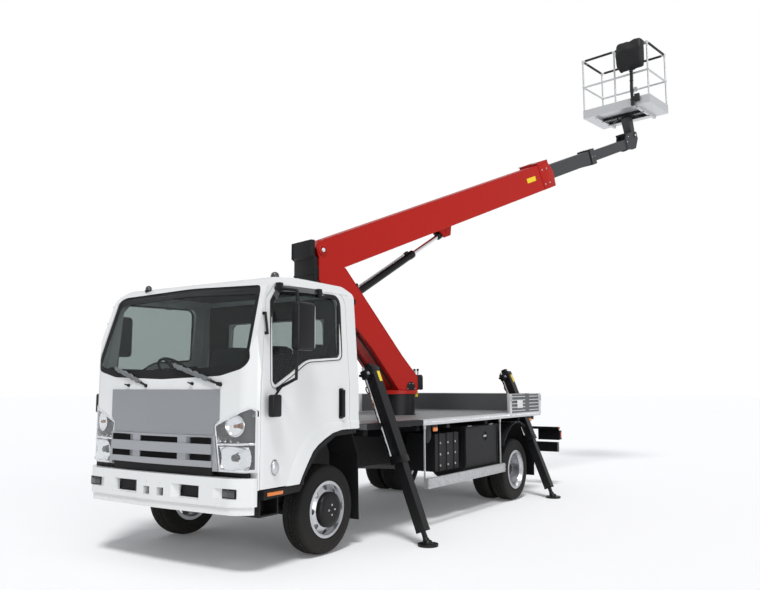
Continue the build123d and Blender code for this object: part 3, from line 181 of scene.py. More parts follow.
def rounded(corners, steps=5):
    """Outline points from (u, v, radius) corners."""
    points = []
    for i, (u, v, radius) in enumerate(corners):
        here = Vector((u, v))
        back = Vector(corners[i - 1][:2]) - here
        ahead = Vector(corners[(i + 1) % len(corners)][:2]) - here
        if radius <= 0:
            points.append(here)
            continue
        half = back.angle(ahead) / 2
        reach = min(radius / math.tan(half), back.length * 0.49, ahead.length * 0.49) if half < 1.57 else 0
        start, end = here + back.normalized() * reach, here + ahead.normalized() * reach
        for t in [k / steps for k in range(steps + 1)]:
            points.append(start * (1 - t) ** 2 + here * 2 * t * (1 - t) + end * t * t)
    return [(p.x, p.y) for p in points]


def round_box(u0, u1, v0, v1, radius):
    return rounded([(u0, v0, radius), (u1, v0, radius), (u1, v1, radius), (u0, v1, radius)])


def eased(points, rounds):
    """Points of a smooth run through the given ones."""
    path = [Vector(p) for p in points]
    if rounds < 2:
        return path
    ends = [path[0] * 2 - path[1], *path, path[-1] * 2 - path[-2]]
    out = []
    for a, b, c, d in zip(ends, ends[1:], ends[2:], ends[3:]):
        for t in [k / rounds for k in range(rounds)]:
            out.append(0.5 * (2 * b + (c - a) * t + (2 * a - 5 * b + 4 * c - d) * t * t
                              + (3 * b - a - 3 * c + d) * t ** 3))
    return out + [path[-1]]


def shrunk(outline, by):
    """An outline moved inwards by a distance, point by point."""
    pts = [Vector(p) for p in outline]
    area = sum(a.x * b.y - b.x * a.y for a, b in zip(pts, pts[1:] + pts[:1]))
    inwards = by if area > 0 else -by
    out = []
    for i, here in enumerate(pts):
        ahead = pts[(i + 1) % len(pts)] - pts[i - 1]
        out.append(tuple(here + Vector((-ahead.y, ahead.x)).normalized() * inwards))
    return out


def dense(outline, step=0.05):
    """An outline with points added on its long runs."""
    out = []
    for (u, v), (p, q) in zip(outline, outline[1:] + outline[:1]):
        parts = max(1, int(math.hypot(p - u, q - v) / step))
        out += [(u + (p - u) * k / parts, v + (q - v) * k / parts) for k in range(parts)]
    return out


class Surface:
    """Outer skin of some CAD nodes, to set trim on it."""

    def __init__(self, *names):
        verts, faces = [], []
        for name in names:
            mesh = NODES[name].data
            base = len(verts)
            verts += [v.co + TRUCK for v in mesh.vertices]
            faces += [[base + i for i in p.vertices] for p in mesh.polygons]
        self.tree = BVHTree.FromPolygons(verts, faces)

    def hit(self, start, heading, axis, otherwise):
        place = self.tree.ray_cast(Vector(start), Vector(heading))[0]
        return otherwise if place is None else place[axis]

    def front(self, x, z, otherwise=-1.06):
        """The skin's y, seen from the front."""
        return self.hit((x, -3, z), (0, 1, 0), 1, otherwise)

    def side(self, y, z, otherwise=1.0):
        """The skin's x, seen from the left."""
        return self.hit((3, y, z), (-1, 0, 0), 0, otherwise)

    def top(self, x, y, otherwise=2.39):
        """The skin's z, seen from above."""
        return self.hit((x, y, 4), (0, 0, -1), 2, otherwise)


class Piece:
    """One object's mesh while it is being made, in truck metres or in a local frame."""

    def __init__(self):
        self.mesh = bmesh.new()

    def add(self, part, finish=0, place=None):
        for face in part.faces:
            face.material_index = finish
        if place is not None:
            part.transform(place)
        flat = bpy.data.meshes.new("part")
        part.to_mesh(flat)
        part.free()
        self.mesh.from_mesh(flat)
        bpy.data.meshes.remove(flat)
        return self

    def both(self, part, finish=0):
        """Add a part of the left side and its mirror image."""
        twin = part.copy()
        return self.add(part, finish).add(twin, finish, MIRROR)

    def done(self, name, body, finishes, slot, place=None, angle=35, node=None):
        """Link the piece to its body with its finishes; node is the CAD node that it stands for."""
        self.mesh.transform(TO_FRAME @ (Matrix() if place is None else place))
        bmesh.ops.recalc_face_normals(self.mesh, faces=self.mesh.faces)
        data = bpy.data.meshes.new(name)
        self.mesh.to_mesh(data)
        self.mesh.free()
        data.shade_smooth()
        data.set_sharp_from_angle(angle=math.radians(angle))
        for finish in finishes if isinstance(finishes, list) else [finishes]:
            data.materials.append(finish)
        thing = bpy.data.objects.new(name, data)
        bpy.context.scene.collection.objects.link(thing)
        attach(thing, body)
        if node:
            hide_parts(node)
        return thing

    def twins(self, name, body, finishes, slot, place=Matrix(), angle=35, node=None):
        """The piece on the left and its mirror image on the right, with {} for the side in body and node."""
        other = Piece()
        other.mesh = self.mesh.copy()
        for piece, side, at in ((self, "left", place), (other, "right", MIRROR @ place)):
            piece.done(name + "_" + side, body.format(side), finishes, slot, at, angle, node and node.format(side))


# Finishes

def put(tree, kind, inputs=(), **settings):
    """A new node with its settings, and a value or a link for each given input."""
    node = tree.nodes.new(kind)
    for label, value in settings.items():
        setattr(node, label, value)
    for label, value in dict(inputs).items():
        if isinstance(value, bpy.types.NodeSocket):
            tree.links.new(value, node.inputs[label])
        elif value is not None:
            node.inputs[label].default_value = value
    return node


def link_all(tree, inputs, **sources):
    """Link an output to each named input, with _ for a blank in its name."""
    for label, source in sources.items():
        tree.links.new(source, inputs[label.replace("_", " ")])


def new_group(name, inputs, outputs):
    """A shader group, its inputs' outputs and its outputs' inputs; four numbers make a colour."""
    group = bpy.data.node_groups.new(name, "ShaderNodeTree")
    for label, value in inputs.items():
        kind = "NodeSocketColor" if isinstance(value, tuple) else "NodeSocketFloat"
        group.interface.new_socket(name=label, in_out="INPUT", socket_type=kind).default_value = value
    for label in outputs:
        kind = "NodeSocketColor" if label == "Colour" else "NodeSocketFloat"
        group.interface.new_socket(name=label, in_out="OUTPUT", socket_type=kind)
    return group, group.nodes.new("NodeGroupInput").outputs, group.nodes.new("NodeGroupOutput").inputs


def calc(tree, operation, *values, clamp=False):
    return put(tree, "ShaderNodeMath", enumerate(values), operation=operation, use_clamp=clamp).outputs[0]


def noise(tree, vector, scale, detail=3.0, rough=0.5):
    return put(tree, "ShaderNodeTexNoise", {"Vector": vector, "Scale": scale, "Detail": detail,
                                            "Roughness": rough}).outputs["Fac"]


def blend_colour(tree, factor, a, b):
    return put(tree, "ShaderNodeMix", {0: factor, 6: a, 7: b}, data_type="RGBA").outputs[2]


def object_place(tree):
    return put(tree, "ShaderNodeTexCoord").outputs["Object"]


def make_wear():
    """Uneven colour, road dust near the ground and a fine grain."""
    tree, given, gives = new_group(
        "wear", {"Colour": (0.5, 0.5, 0.5, 1), "Roughness": 0.4, "Mottle": 0.1, "Mottle Scale": 2.0, "Dust": 0.1,
                 "Grain Scale": 400.0}, ("Colour", "Roughness", "Height"))
    place = object_place(tree)
    broad = noise(tree, place, given["Mottle Scale"], 4)
    fine = noise(tree, place, 23.0, 5, 0.6)
    dark = put(tree, "ShaderNodeHueSaturation", {"Color": given["Colour"], "Value": 0.72}).outputs["Color"]
    shade = calc(tree, "MULTIPLY", calc(tree, "MULTIPLY_ADD", broad, 2.4, -0.7, clamp=True), given["Mottle"])
    mottled = blend_colour(tree, shade, given["Colour"], dark)
    height = put(tree, "ShaderNodeSeparateXYZ", {0: place}).outputs["Z"]
    low = calc(tree, "MULTIPLY_ADD", height, -1.15, 1.0, clamp=True)
    patches = calc(tree, "MULTIPLY_ADD", fine, 1.6, -0.25, clamp=True)
    dirt = calc(tree, "MULTIPLY", calc(tree, "MULTIPLY", calc(tree, "MULTIPLY", low, low), patches), given["Dust"],
                clamp=True)
    rough = calc(tree, "ADD", given["Roughness"], calc(tree, "MULTIPLY_ADD", fine, 0.16, -0.08))
    link_all(tree, gives, Colour=blend_colour(tree, dirt, mottled, (0.22, 0.19, 0.15, 1)),
             Roughness=calc(tree, "MULTIPLY_ADD", dirt, 0.5, rough, clamp=True),
             Height=noise(tree, place, given["Grain Scale"], 2))
    return tree


def make_tread_plate():
    """Raised bars in alternate directions, as on chequered plate."""
    tree, given, gives = new_group("tread_plate", {"Pitch": 0.036}, ("Height",))
    split = put(tree, "ShaderNodeSeparateXYZ", {0: object_place(tree)}).outputs
    a, b = [calc(tree, "DIVIDE", calc(tree, way, split["X"], split["Y"]), given["Pitch"])
            for way in ("ADD", "SUBTRACT")]
    cell = calc(tree, "MODULO", calc(tree, "ADD", calc(tree, "FLOOR", a), calc(tree, "FLOOR", b)), 2.0)
    cell = calc(tree, "ABSOLUTE", cell)
    u, v = [calc(tree, "SUBTRACT", calc(tree, "FRACT", w), 0.5) for w in (a, b)]

    def bar(long, short):
        squares = [calc(tree, "POWER", calc(tree, "DIVIDE", calc(tree, "ABSOLUTE", w), reach), 2.0)
                   for w, reach in ((long, 0.44), (short, 0.13))]
        return calc(tree, "MULTIPLY", calc(tree, "SUBTRACT", 1.0, calc(tree, "ADD", *squares)), 3.0, clamp=True)

    link_all(tree, gives, Height=calc(tree, "ADD", calc(tree, "MULTIPLY", bar(u, v), cell),
                                      calc(tree, "MULTIPLY", bar(v, u), calc(tree, "SUBTRACT", 1.0, cell))))
    return tree


WEAR = make_wear()
TREAD_PLATE = make_tread_plate()


def set_inputs(shader, **values):
    for label, value in values.items():
        shader.inputs[label.replace("_", " ")].default_value = value


def finish(name, colour, roughness, metallic=0.0, mottle=0.1, mottle_scale=2.0, dust=0.12, grain=400.0,
           bump=0.05, coat=0.0, depth=0.001, extra=None, sheen=0.0, shine=0.5):
    """A finish for one kind of surface; extra changes its tree."""
    material = bpy.data.materials.new(name)
    material.use_nodes = True
    tree = material.node_tree
    shader = tree.nodes["Principled BSDF"]
    wear = put(tree, "ShaderNodeGroup", node_tree=WEAR)
    set_inputs(wear, Colour=(*colour, 1), Roughness=roughness, Mottle=mottle, Mottle_Scale=mottle_scale, Dust=dust,
               Grain_Scale=grain)
    relief = put(tree, "ShaderNodeBump", {"Strength": bump, "Distance": depth, "Height": wear.outputs["Height"]})
    link_all(tree, shader.inputs, Base_Color=wear.outputs["Colour"], Roughness=wear.outputs["Roughness"],
             Normal=relief.outputs["Normal"])
    set_inputs(shader, Metallic=metallic, Specular_IOR_Level=shine, Coat_Weight=coat, Coat_Roughness=0.04,
               Sheen_Weight=sheen)
    if extra:
        extra(tree, shader.inputs, wear.outputs, relief)
    return material


def plate_relief(tree, inputs, wear, relief):
    """Chequered plate pattern over the grain, with the raised bars painted lighter as a painted highlight."""
    plate = put(tree, "ShaderNodeGroup", node_tree=TREAD_PLATE).outputs["Height"]
    second = put(tree, "ShaderNodeBump", {"Strength": 0.7, "Distance": 0.0022, "Height": plate,
                                          "Normal": relief.outputs["Normal"]})
    # Raised bars blended towards light grey: a painted highlight on their tops, not a colour of the plate.
    link_all(tree, inputs, Normal=second.outputs["Normal"],
             Base_Color=blend_colour(tree, plate, wear["Colour"], (0.52, 0.53, 0.54, 1)))


def spangle(tree, inputs, wear, relief):
    """Crystal pattern of zinc coating."""
    cells = put(tree, "ShaderNodeTexVoronoi", {"Scale": 55.0, "Vector": object_place(tree)})
    split = put(tree, "ShaderNodeSeparateColor", {0: cells.outputs["Color"]}).outputs
    tone = calc(tree, "MULTIPLY", split[0], 0.55)
    link_all(tree, inputs, Base_Color=blend_colour(tree, tone, wear["Colour"], (0.36, 0.37, 0.38, 1)),
             Roughness=calc(tree, "MULTIPLY_ADD", split[1], 0.22, wear["Roughness"], clamp=True))


def brushed(tree, inputs, wear, relief):
    """Long fine strokes of extruded aluminium along the truck."""
    stretched = put(tree, "ShaderNodeMapping", {"Scale": (160, 2.5, 160), "Vector": object_place(tree)})
    lines = noise(tree, stretched.outputs["Vector"], 3.0, 3)
    link_all(tree, inputs, Roughness=calc(tree, "MULTIPLY_ADD", calc(tree, "SUBTRACT", lines, 0.5), 0.35,
                                          wear["Roughness"], clamp=True))


def weave(tree, inputs, wear, relief):
    """Cross threads of seat cloth."""
    threads = [put(tree, "ShaderNodeTexWave", {"Scale": 170.0, "Vector": object_place(tree)},
                   bands_direction=way).outputs["Fac"] for way in ("X", "Z")]
    link_all(tree, relief.inputs, Height=calc(tree, "MULTIPLY", *threads))


def glass(name, tint, weight, bending=1.45, rough=0.02):
    """A see-through finish; weight is the share of light that passes."""
    material = finish(name, tint, rough, mottle=0.02, dust=0.05, bump=0.002)
    tree = material.node_tree
    shader = tree.nodes["Principled BSDF"]
    for label in ("Roughness", "Normal"):
        tree.links.remove(shader.inputs[label].links[0])
    set_inputs(shader, Roughness=rough, Transmission_Weight=weight, IOR=bending)
    return material


WHITE = finish("white_paint", (0.77, 0.78, 0.78), 0.24, coat=0.5, mottle=0.06, dust=0.25, bump=0.012)
SILVER = finish("silver_paint", (0.36, 0.37, 0.39), 0.34, metallic=0.5, coat=0.3, mottle=0.12, bump=0.03, grain=900)
PANEL_GREY = finish("panel_grey", (0.30, 0.31, 0.33), 0.36, metallic=0.5, coat=0.25, mottle=0.1, bump=0.03, grain=900)
RED = finish("red_paint", (0.43, 0.011, 0.006), 0.40, coat=0.05, mottle=0.14, bump=0.03, grain=260, shine=0.2)
GREY = finish("grey_paint", (0.05, 0.053, 0.057), 0.45, mottle=0.2, bump=0.05, grain=300, shine=0.3)
BLACK = finish("black_paint", (0.006, 0.006, 0.007), 0.36, coat=0.03, mottle=0.3, dust=0.04, bump=0.04, grain=300,
               shine=0.25)
CHASSIS = finish("frame_paint", (0.010, 0.010, 0.011), 0.55, mottle=0.4, dust=0.4, bump=0.08, grain=160, shine=0.2)
PLASTIC = finish("black_plastic", (0.009, 0.009, 0.010), 0.5, mottle=0.25, dust=0.05, bump=0.22, grain=900,
                 depth=0.0006, shine=0.22)
DARK_GREY = finish("grey_plastic", (0.09, 0.09, 0.095), 0.6, mottle=0.2, bump=0.2, grain=700, depth=0.0006)
RUBBER = finish("tyre_rubber", (0.012, 0.012, 0.012), 0.72, mottle=0.3, mottle_scale=7.0, dust=0.10, bump=0.14,
                grain=500, shine=0.2)
STEEL = finish("wheel_steel", (0.60, 0.61, 0.63), 0.30, metallic=0.85, mottle=0.04, dust=0.08,
               bump=0.01)
CHROME = finish("chrome", (0.80, 0.81, 0.82), 0.07, metallic=1.0, mottle=0.05, dust=0.0, bump=0.004)
ZINC = finish("galvanised", (0.60, 0.61, 0.62), 0.38, metallic=0.75, mottle=0.2, dust=0.3, extra=spangle)
ALLOY = finish("aluminium", (0.66, 0.67, 0.68), 0.36, metallic=0.6, mottle=0.15, dust=0.1, extra=brushed)
PLATE = finish("tread_plate", (0.17, 0.175, 0.18), 0.42, metallic=0.35, mottle=0.35, dust=0.1, extra=plate_relief)
BOARD = finish("board_grey", (0.10, 0.104, 0.11), 0.45, metallic=0.3, mottle=0.25, extra=brushed)
CAST = finish("cast_grey", (0.12, 0.12, 0.12), 0.65, mottle=0.5, dust=0.4, bump=0.3, grain=120)
CLOTH = finish("seat_cloth", (0.016, 0.017, 0.020), 0.9, mottle=0.3, mottle_scale=9, dust=0, bump=0.4, sheen=0.1,
               extra=weave)
COVER = finish("soft_cover", (0.010, 0.010, 0.011), 0.55, mottle=0.3, mottle_scale=5, dust=0, bump=0.25, grain=220,
               sheen=0.05, shine=0.3)
SLEEVE = finish("grip_sleeve", (0.012, 0.012, 0.013), 0.7, mottle=0.2, bump=0.3, grain=600)
AMBER = finish("amber_lens", (0.75, 0.19, 0.01), 0.15, coat=0.6, mottle=0.05, dust=0.1)
REFLEX = finish("red_lens", (0.45, 0.008, 0.01), 0.15, coat=0.6, mottle=0.05, dust=0.1)
YELLOW = finish("yellow_label", (0.85, 0.62, 0.02), 0.4, mottle=0.05, dust=0.1)
LABEL = finish("plain_label", (0.72, 0.73, 0.73), 0.4, mottle=0.08, dust=0.1)
BULB = finish("amber_bulb", (0.42, 0.20, 0.09), 0.2, coat=0.4, mottle=0.1, dust=0)
LENS_DARK = finish("dark_lens", (0.03, 0.032, 0.035), 0.08, coat=0.8, mottle=0.05, dust=0.1)
FILM = finish("wiper_film", (0.17, 0.18, 0.185), 0.3, mottle=0.9, mottle_scale=38, dust=0, bump=0.5, grain=60,
              depth=0.004)
# Cab lining, dash and door linings: their own dark grey plastic is darkened further to near black, a painted shade for
# the dim inside of the cab.
INSIDE_PAINTED_SHADE = finish("cab_lining", (0.011, 0.011, 0.012), 0.8, mottle=0.2, dust=0, bump=0.1)
MIRROR_FACE = finish("mirror_face", (0.85, 0.87, 0.9), 0.03, metallic=1.0, mottle=0.02, dust=0, bump=0.0)
PANE = glass("tinted_glass", (0.50, 0.55, 0.54), 0.985, 1.2)
CLEAR = glass("clear_cover", (0.95, 0.96, 0.97), 0.98)


# Repeats, made with Geometry Nodes

def repeat_tree(name, sizes, build):
    """A tree that copies a part onto points, realizes the copies and sets their finish."""
    tree = bpy.data.node_groups.new(name, "GeometryNodeTree")
    for label, kind in (("Part", "Object"), ("Finish", "Material"), *sizes):
        tree.interface.new_socket(name=label, in_out="INPUT", socket_type="NodeSocket" + kind)
    tree.interface.new_socket(name="Geometry", in_out="OUTPUT", socket_type="NodeSocketGeometry")
    given = put(tree, "NodeGroupInput").outputs
    source = put(tree, "GeometryNodeObjectInfo", {"Object": given["Part"]})
    points, turn = build(tree, given)
    copies = put(tree, "GeometryNodeInstanceOnPoints",
                 {"Points": points, "Instance": source.outputs["Geometry"], "Rotation": turn})
    whole = put(tree, "GeometryNodeRealizeInstances", {"Geometry": copies.outputs["Instances"]})
    painted = put(tree, "GeometryNodeSetMaterial", {"Geometry": whole.outputs["Geometry"], "Material": given["Finish"]})
    put(tree, "NodeGroupOutput", {"Geometry": painted.outputs["Geometry"]})
    return tree


def ring_points(tree, given):
    circle = put(tree, "GeometryNodeMeshCircle", {"Vertices": given["Count"], "Radius": given["Radius"]})
    step = calc(tree, "DIVIDE", 2 * math.pi, given["Count"])
    angle = calc(tree, "MULTIPLY", put(tree, "GeometryNodeInputIndex").outputs[0], step)
    return circle.outputs[0], put(tree, "ShaderNodeCombineXYZ", {"Z": angle}).outputs[0]


def row_points(tree, given):
    return put(tree, "GeometryNodeMeshLine", {"Count": given["Count"], "Offset": given["Step"]},
               mode="OFFSET").outputs[0], None


RING = repeat_tree("ring_of_parts", (("Count", "Int"), ("Radius", "Float")), ring_points)
ROW = repeat_tree("row_of_parts", (("Count", "Int"), ("Step", "Vector")), row_points)


def repeat_piece(name, body, used, slot, tree, part, places, **sizes):
    """One piece from a repeat tree, copied to each of the given places in truck metres."""
    data = bpy.data.meshes.new("repeat_part")
    part.to_mesh(data)
    part.free()
    source = bpy.data.objects.new("repeat_part", data)
    holder = bpy.data.objects.new("repeat_holder", bpy.data.meshes.new("repeat_holder"))
    for thing in (source, holder):
        bpy.context.scene.collection.objects.link(thing)
    modifier = holder.modifiers.new("repeat", "NODES")
    modifier.node_group = tree
    values = {"Part": source, "Finish": used, **sizes}
    for item in tree.interface.items_tree:
        if item.in_out == "INPUT":
            modifier[item.identifier] = values[item.name]
    bpy.context.view_layer.update()
    made = bpy.data.meshes.new_from_object(holder.evaluated_get(bpy.context.evaluated_depsgraph_get()))
    for thing in (holder, source):
        bpy.data.objects.remove(thing)
    whole = Piece()
    for place in places:
        copy = bmesh.new()
        copy.from_mesh(made)
        whole.add(copy, 0, place)
    whole.done(name, body, used, slot)


def form_nut(across, high):
    """A hexagon nut on its washer, with the stud's end, about Z."""
    part = bmesh.new()
    bmesh.ops.create_cone(part, cap_ends=True, segments=6, radius1=across / 2, radius2=across / 2, depth=high)
    whole = Piece().add(part, 0, shift(0, 0, high / 2))
    for radius, low, top, tip, sides in ((0.62, -0.001, high * 0.16, 0.0, 14),
                                         (0.27, high * 0.5, high * 1.4, high * 0.06, 10)):
        whole.add(form_turned([(across * radius, low), (across * radius, top), (0, top + tip)], sides))
    return whole.mesh

# Wheels

TYRE_PROFILE = [
    (0.232, -0.084), (0.24, -0.098), (0.252, -0.102), (0.256, -0.1055), (0.262, -0.1055), (0.268, -0.103),
    (0.3, -0.1055), (0.304, -0.106), (0.318, -0.106), (0.322, -0.1045), (0.345, -0.103), (0.36, -0.099),
    (0.369, -0.092), (0.3745, -0.08), (0.3755, -0.04)]


def form_tyre():
    """Tyre carcass about Z with ribbed sidewalls."""
    back = [(r, -h) for r, h in reversed(TYRE_PROFILE)]
    return form_turned(TYRE_PROFILE + back + [(0.232, 0.06), (0.232, -0.06), TYRE_PROFILE[0]], 96)


def form_tread():
    """The blocks of one pitch across the tread, with +X radial and Z across."""
    pitch = Piece()
    for centre, width, phase, drop in ((-0.068, 0.025, 0, 0.008), (-0.036, 0.028, 0.5, 0), (0, 0.03, 0, 0),
                                       (0.036, 0.028, 0.5, 0), (0.068, 0.025, 0, 0.008)):
        for way in (-1, 1):
            y = 0.0205 * (way / 2 + phase)
            part = form_box(-0.014, -drop, y - 0.0082, y + 0.0082, centre - width / 2, centre + width / 2)
            for vert in part.verts:
                vert.co.y += 0.2 * (vert.co.z - centre) * way
            pitch.add(part)
    return pitch.mesh


def make_wheels():
    for side, sign in SIDES:
        front, outer, inner = [along_x(sign * x, y, AXLE_Z, sign) for x, y in (
            (FRONT_TYRE_X, 0), (REAR_OUTER_X, WHEELBASE), (REAR_INNER_X, WHEELBASE))]
        for end, places, node in (("front", [front], "tyre_front_"), ("rear", [outer, inner], "tyres_rear_")):
            label = "_%s_%s" % (end, side)
            tyre = Piece()
            for place in places:
                tyre.add(form_tyre(), 0, place)
            tyre.done("carcass" + label, "wheel" + label, RUBBER, "tyre", angle=50, node=node + side)
            repeat_piece("tread" + label, "wheel" + label, RUBBER, "tyre", RING, form_tread(), places,
                         Count=58, Radius=0.3822)
            lip = form_turned([(0.2285, 0.092), (0.2405, 0.098), (0.2425, 0.103), (0.2395, 0.105), (0.226, 0.1),
                               (0.2285, 0.092)], 64, places[0])
            Piece().add(lip).done("rim_lip" + label, "wheel" + label, STEEL, "silver_steel", angle=60)
        cover = form_turned([(0.14, 0.092), (0.1515, 0.095), (0.152, 0.128), (0.148, 0.137), (0.137, 0.146),
                             (0.108, 0.15), (0.079, 0.152), (0, 0.1525)], 56, front)
        Piece().add(cover).done("hub_cover_" + side, "wheel_front_" + side, BLACK, "black_plastic", angle=60)
        repeat_piece("hub_screws_" + side, "wheel_front_" + side, CHROME, None, RING, form_nut(0.013, 0.006),
                     [front @ shift(0, 0, 0.1515)], Count=4, Radius=0.042)
        repeat_piece("wheel_nuts_rear_" + side, "wheel_rear_" + side, ZINC, None, RING, form_nut(0.03, 0.02),
                     [outer @ shift(0, 0, -0.118)], Count=6, Radius=0.098)
        hub = form_turned([(0.079, -0.07), (0.079, -0.002), (0.07, 0.008), (0.059, 0.01), (0.059, 0.029),
                           (0.054, 0.0315), (0, 0.0315)], 40, outer)
        Piece().add(hub).done("hub_cap_rear_" + side, "wheel_rear_" + side, BLACK, "silver_steel", angle=50)


# Cab trim; corners are (x or y, z, radius)

CAB = Surface("cab_shell", "door_left", "door_right")
SCREEN_SKIN = Surface("cab_glass")
SCREEN = [(-0.935, 1.6, 0.11), (-0.65, 1.532, 0.3), (0, 1.51, 0), (0.65, 1.532, 0.3), (0.935, 1.6, 0.11),
          (0.89, 2.274, 0.08), (0, 2.308, 3), (-0.89, 2.274, 0.08)]
DOOR_WINDOW = [(-0.8, 1.435, 0.04), (-0.56, 1.555, 0.3), (-0.35, 1.672, 0.3), (0.13, 1.705, 0.05),
               (0.145, 2.25, 0.09), (-0.69, 2.23, 0.04), (-0.765, 2.135, 0.04)]


def glass_point(x, z, out):
    """A point near the windscreen, out towards the front."""
    beside = SCREEN_SKIN.front(x * 0.95, z - (z - 1.9) * 0.08, -1.0)
    return x, SCREEN_SKIN.front(x * 0.985, z - (z - 1.9) * 0.02, beside) - out - 0.0025, z


def make_windscreen_trim():
    outer = shrunk(dense(rounded(SCREEN, 8)), 0.0005)
    inner = [(x, z - 0.035 if z > 2.15 else (z + 0.03 if z < 1.6 else z)) for x, z in shrunk(outer, 0.045)]
    border = Piece().add(form_band(outer, inner, glass_point, 0.0012))
    border.done("windscreen_border", "chassis", PLASTIC, "black_plastic", angle=60)

    wipers = Piece()
    # Pivot x, z and blade's far end x, z
    for px, pz, ex, ez in ((-0.195, 1.458, -0.613, 1.612), (0.662, 1.471, 0.142, 1.625)):
        def along(t, out, rise=0.0):
            x, z = px + (ex - px) * t, pz + (ez - pz) * t + rise
            return Vector((x, min(SCREEN_SKIN.front(x, max(z, 1.56), -1.05), -1.03) - out, z))

        def bulge(t):
            return 0.75 + 0.3 * math.sin(t * 23) * math.cos(t * 51) + 0.5 * t * (1.15 - t)
        pivot = along(0, 0.018)
        wipers.add(form_bar(pivot + Vector((0, 0.045, -0.01)), pivot + Vector((0, -0.022, 0)), 0.02, 18, 0.015))
        wipers.add(form_run([along(t, 0.032 - 0.006 * t) for t in (0, 0.1, 0.25, 0.5, 0.75, 1)], 0.01, 8, 3, 0.7))
        wrap = [along(t, 0.03, 0.006 * math.sin(t * 40)) for t in [0.16 + 0.07 * k for k in range(13)]]
        wipers.add(form_run(wrap, 0.022, 9, 2, 0.5, bulge), 1)
        wipers.add(form_run([along(t, 0.012, -0.012) for t in (0.12, 0.4, 0.7, 1.06)], 0.006, 6, 3))
    wipers.done("wipers", "chassis", [BLACK, FILM], "black_plastic", angle=50)

    nozzles = Piece()
    for x, z in ((-0.435, 1.459), (0.361, 1.471)):
        y = CAB.front(x, z)
        nozzles.add(form_bar((x, y + 0.01, z), (x, y - 0.02, z + 0.004), 0.015, 14, 0.011, 0.003))
        nozzles.add(form_bar((x, y - 0.012, z + 0.002), (x - 0.03, y - 0.026, z + 0.012), 0.006, 8))
    nozzles.done("washer_jets", "chassis", BLACK, "black_plastic")


def make_roof_trim():
    lamps = Piece()
    for x, y, size in ((0.656, -0.4, 1.3), (-0.62, -0.72, 1)):
        place = shift(x, y, CAB.top(x, y) - 0.006) @ Matrix.Scale(size, 4)
        lamps.add(form_turned([(0, 0), (0.034, 0), (0.035, 0.012), (0.03, 0.016)], 24, place))
        lamps.add(form_turned([(0.029, 0.014), (0.029, 0.032), (0.024, 0.046), (0.013, 0.055), (0, 0.058)], 24,
                              place), 1)
    lamps.done("roof_marker_lamps", "chassis", [BLACK, LENS_DARK], "black_plastic", angle=50)
    line = [(CAB.side(y, 2.292, 0.93) + 0.004, y, 2.292) for y in [-0.66 + 0.12 * k for k in range(9)]]
    Piece().both(form_run(line, 0.008, 6, 2, 0.6)).done("roof_gutters", "chassis", WHITE, "white_paint")


def window_point(y, z, out):
    """A point near the left door's glass, out from it."""
    x = CAB.side(y, min(max(z, 1.3), 2.275), 0.95)
    return (x if x >= 0.9 else 1.0 - 0.06 * (z - 1.45) / 0.84) + out + 0.0015, y, z


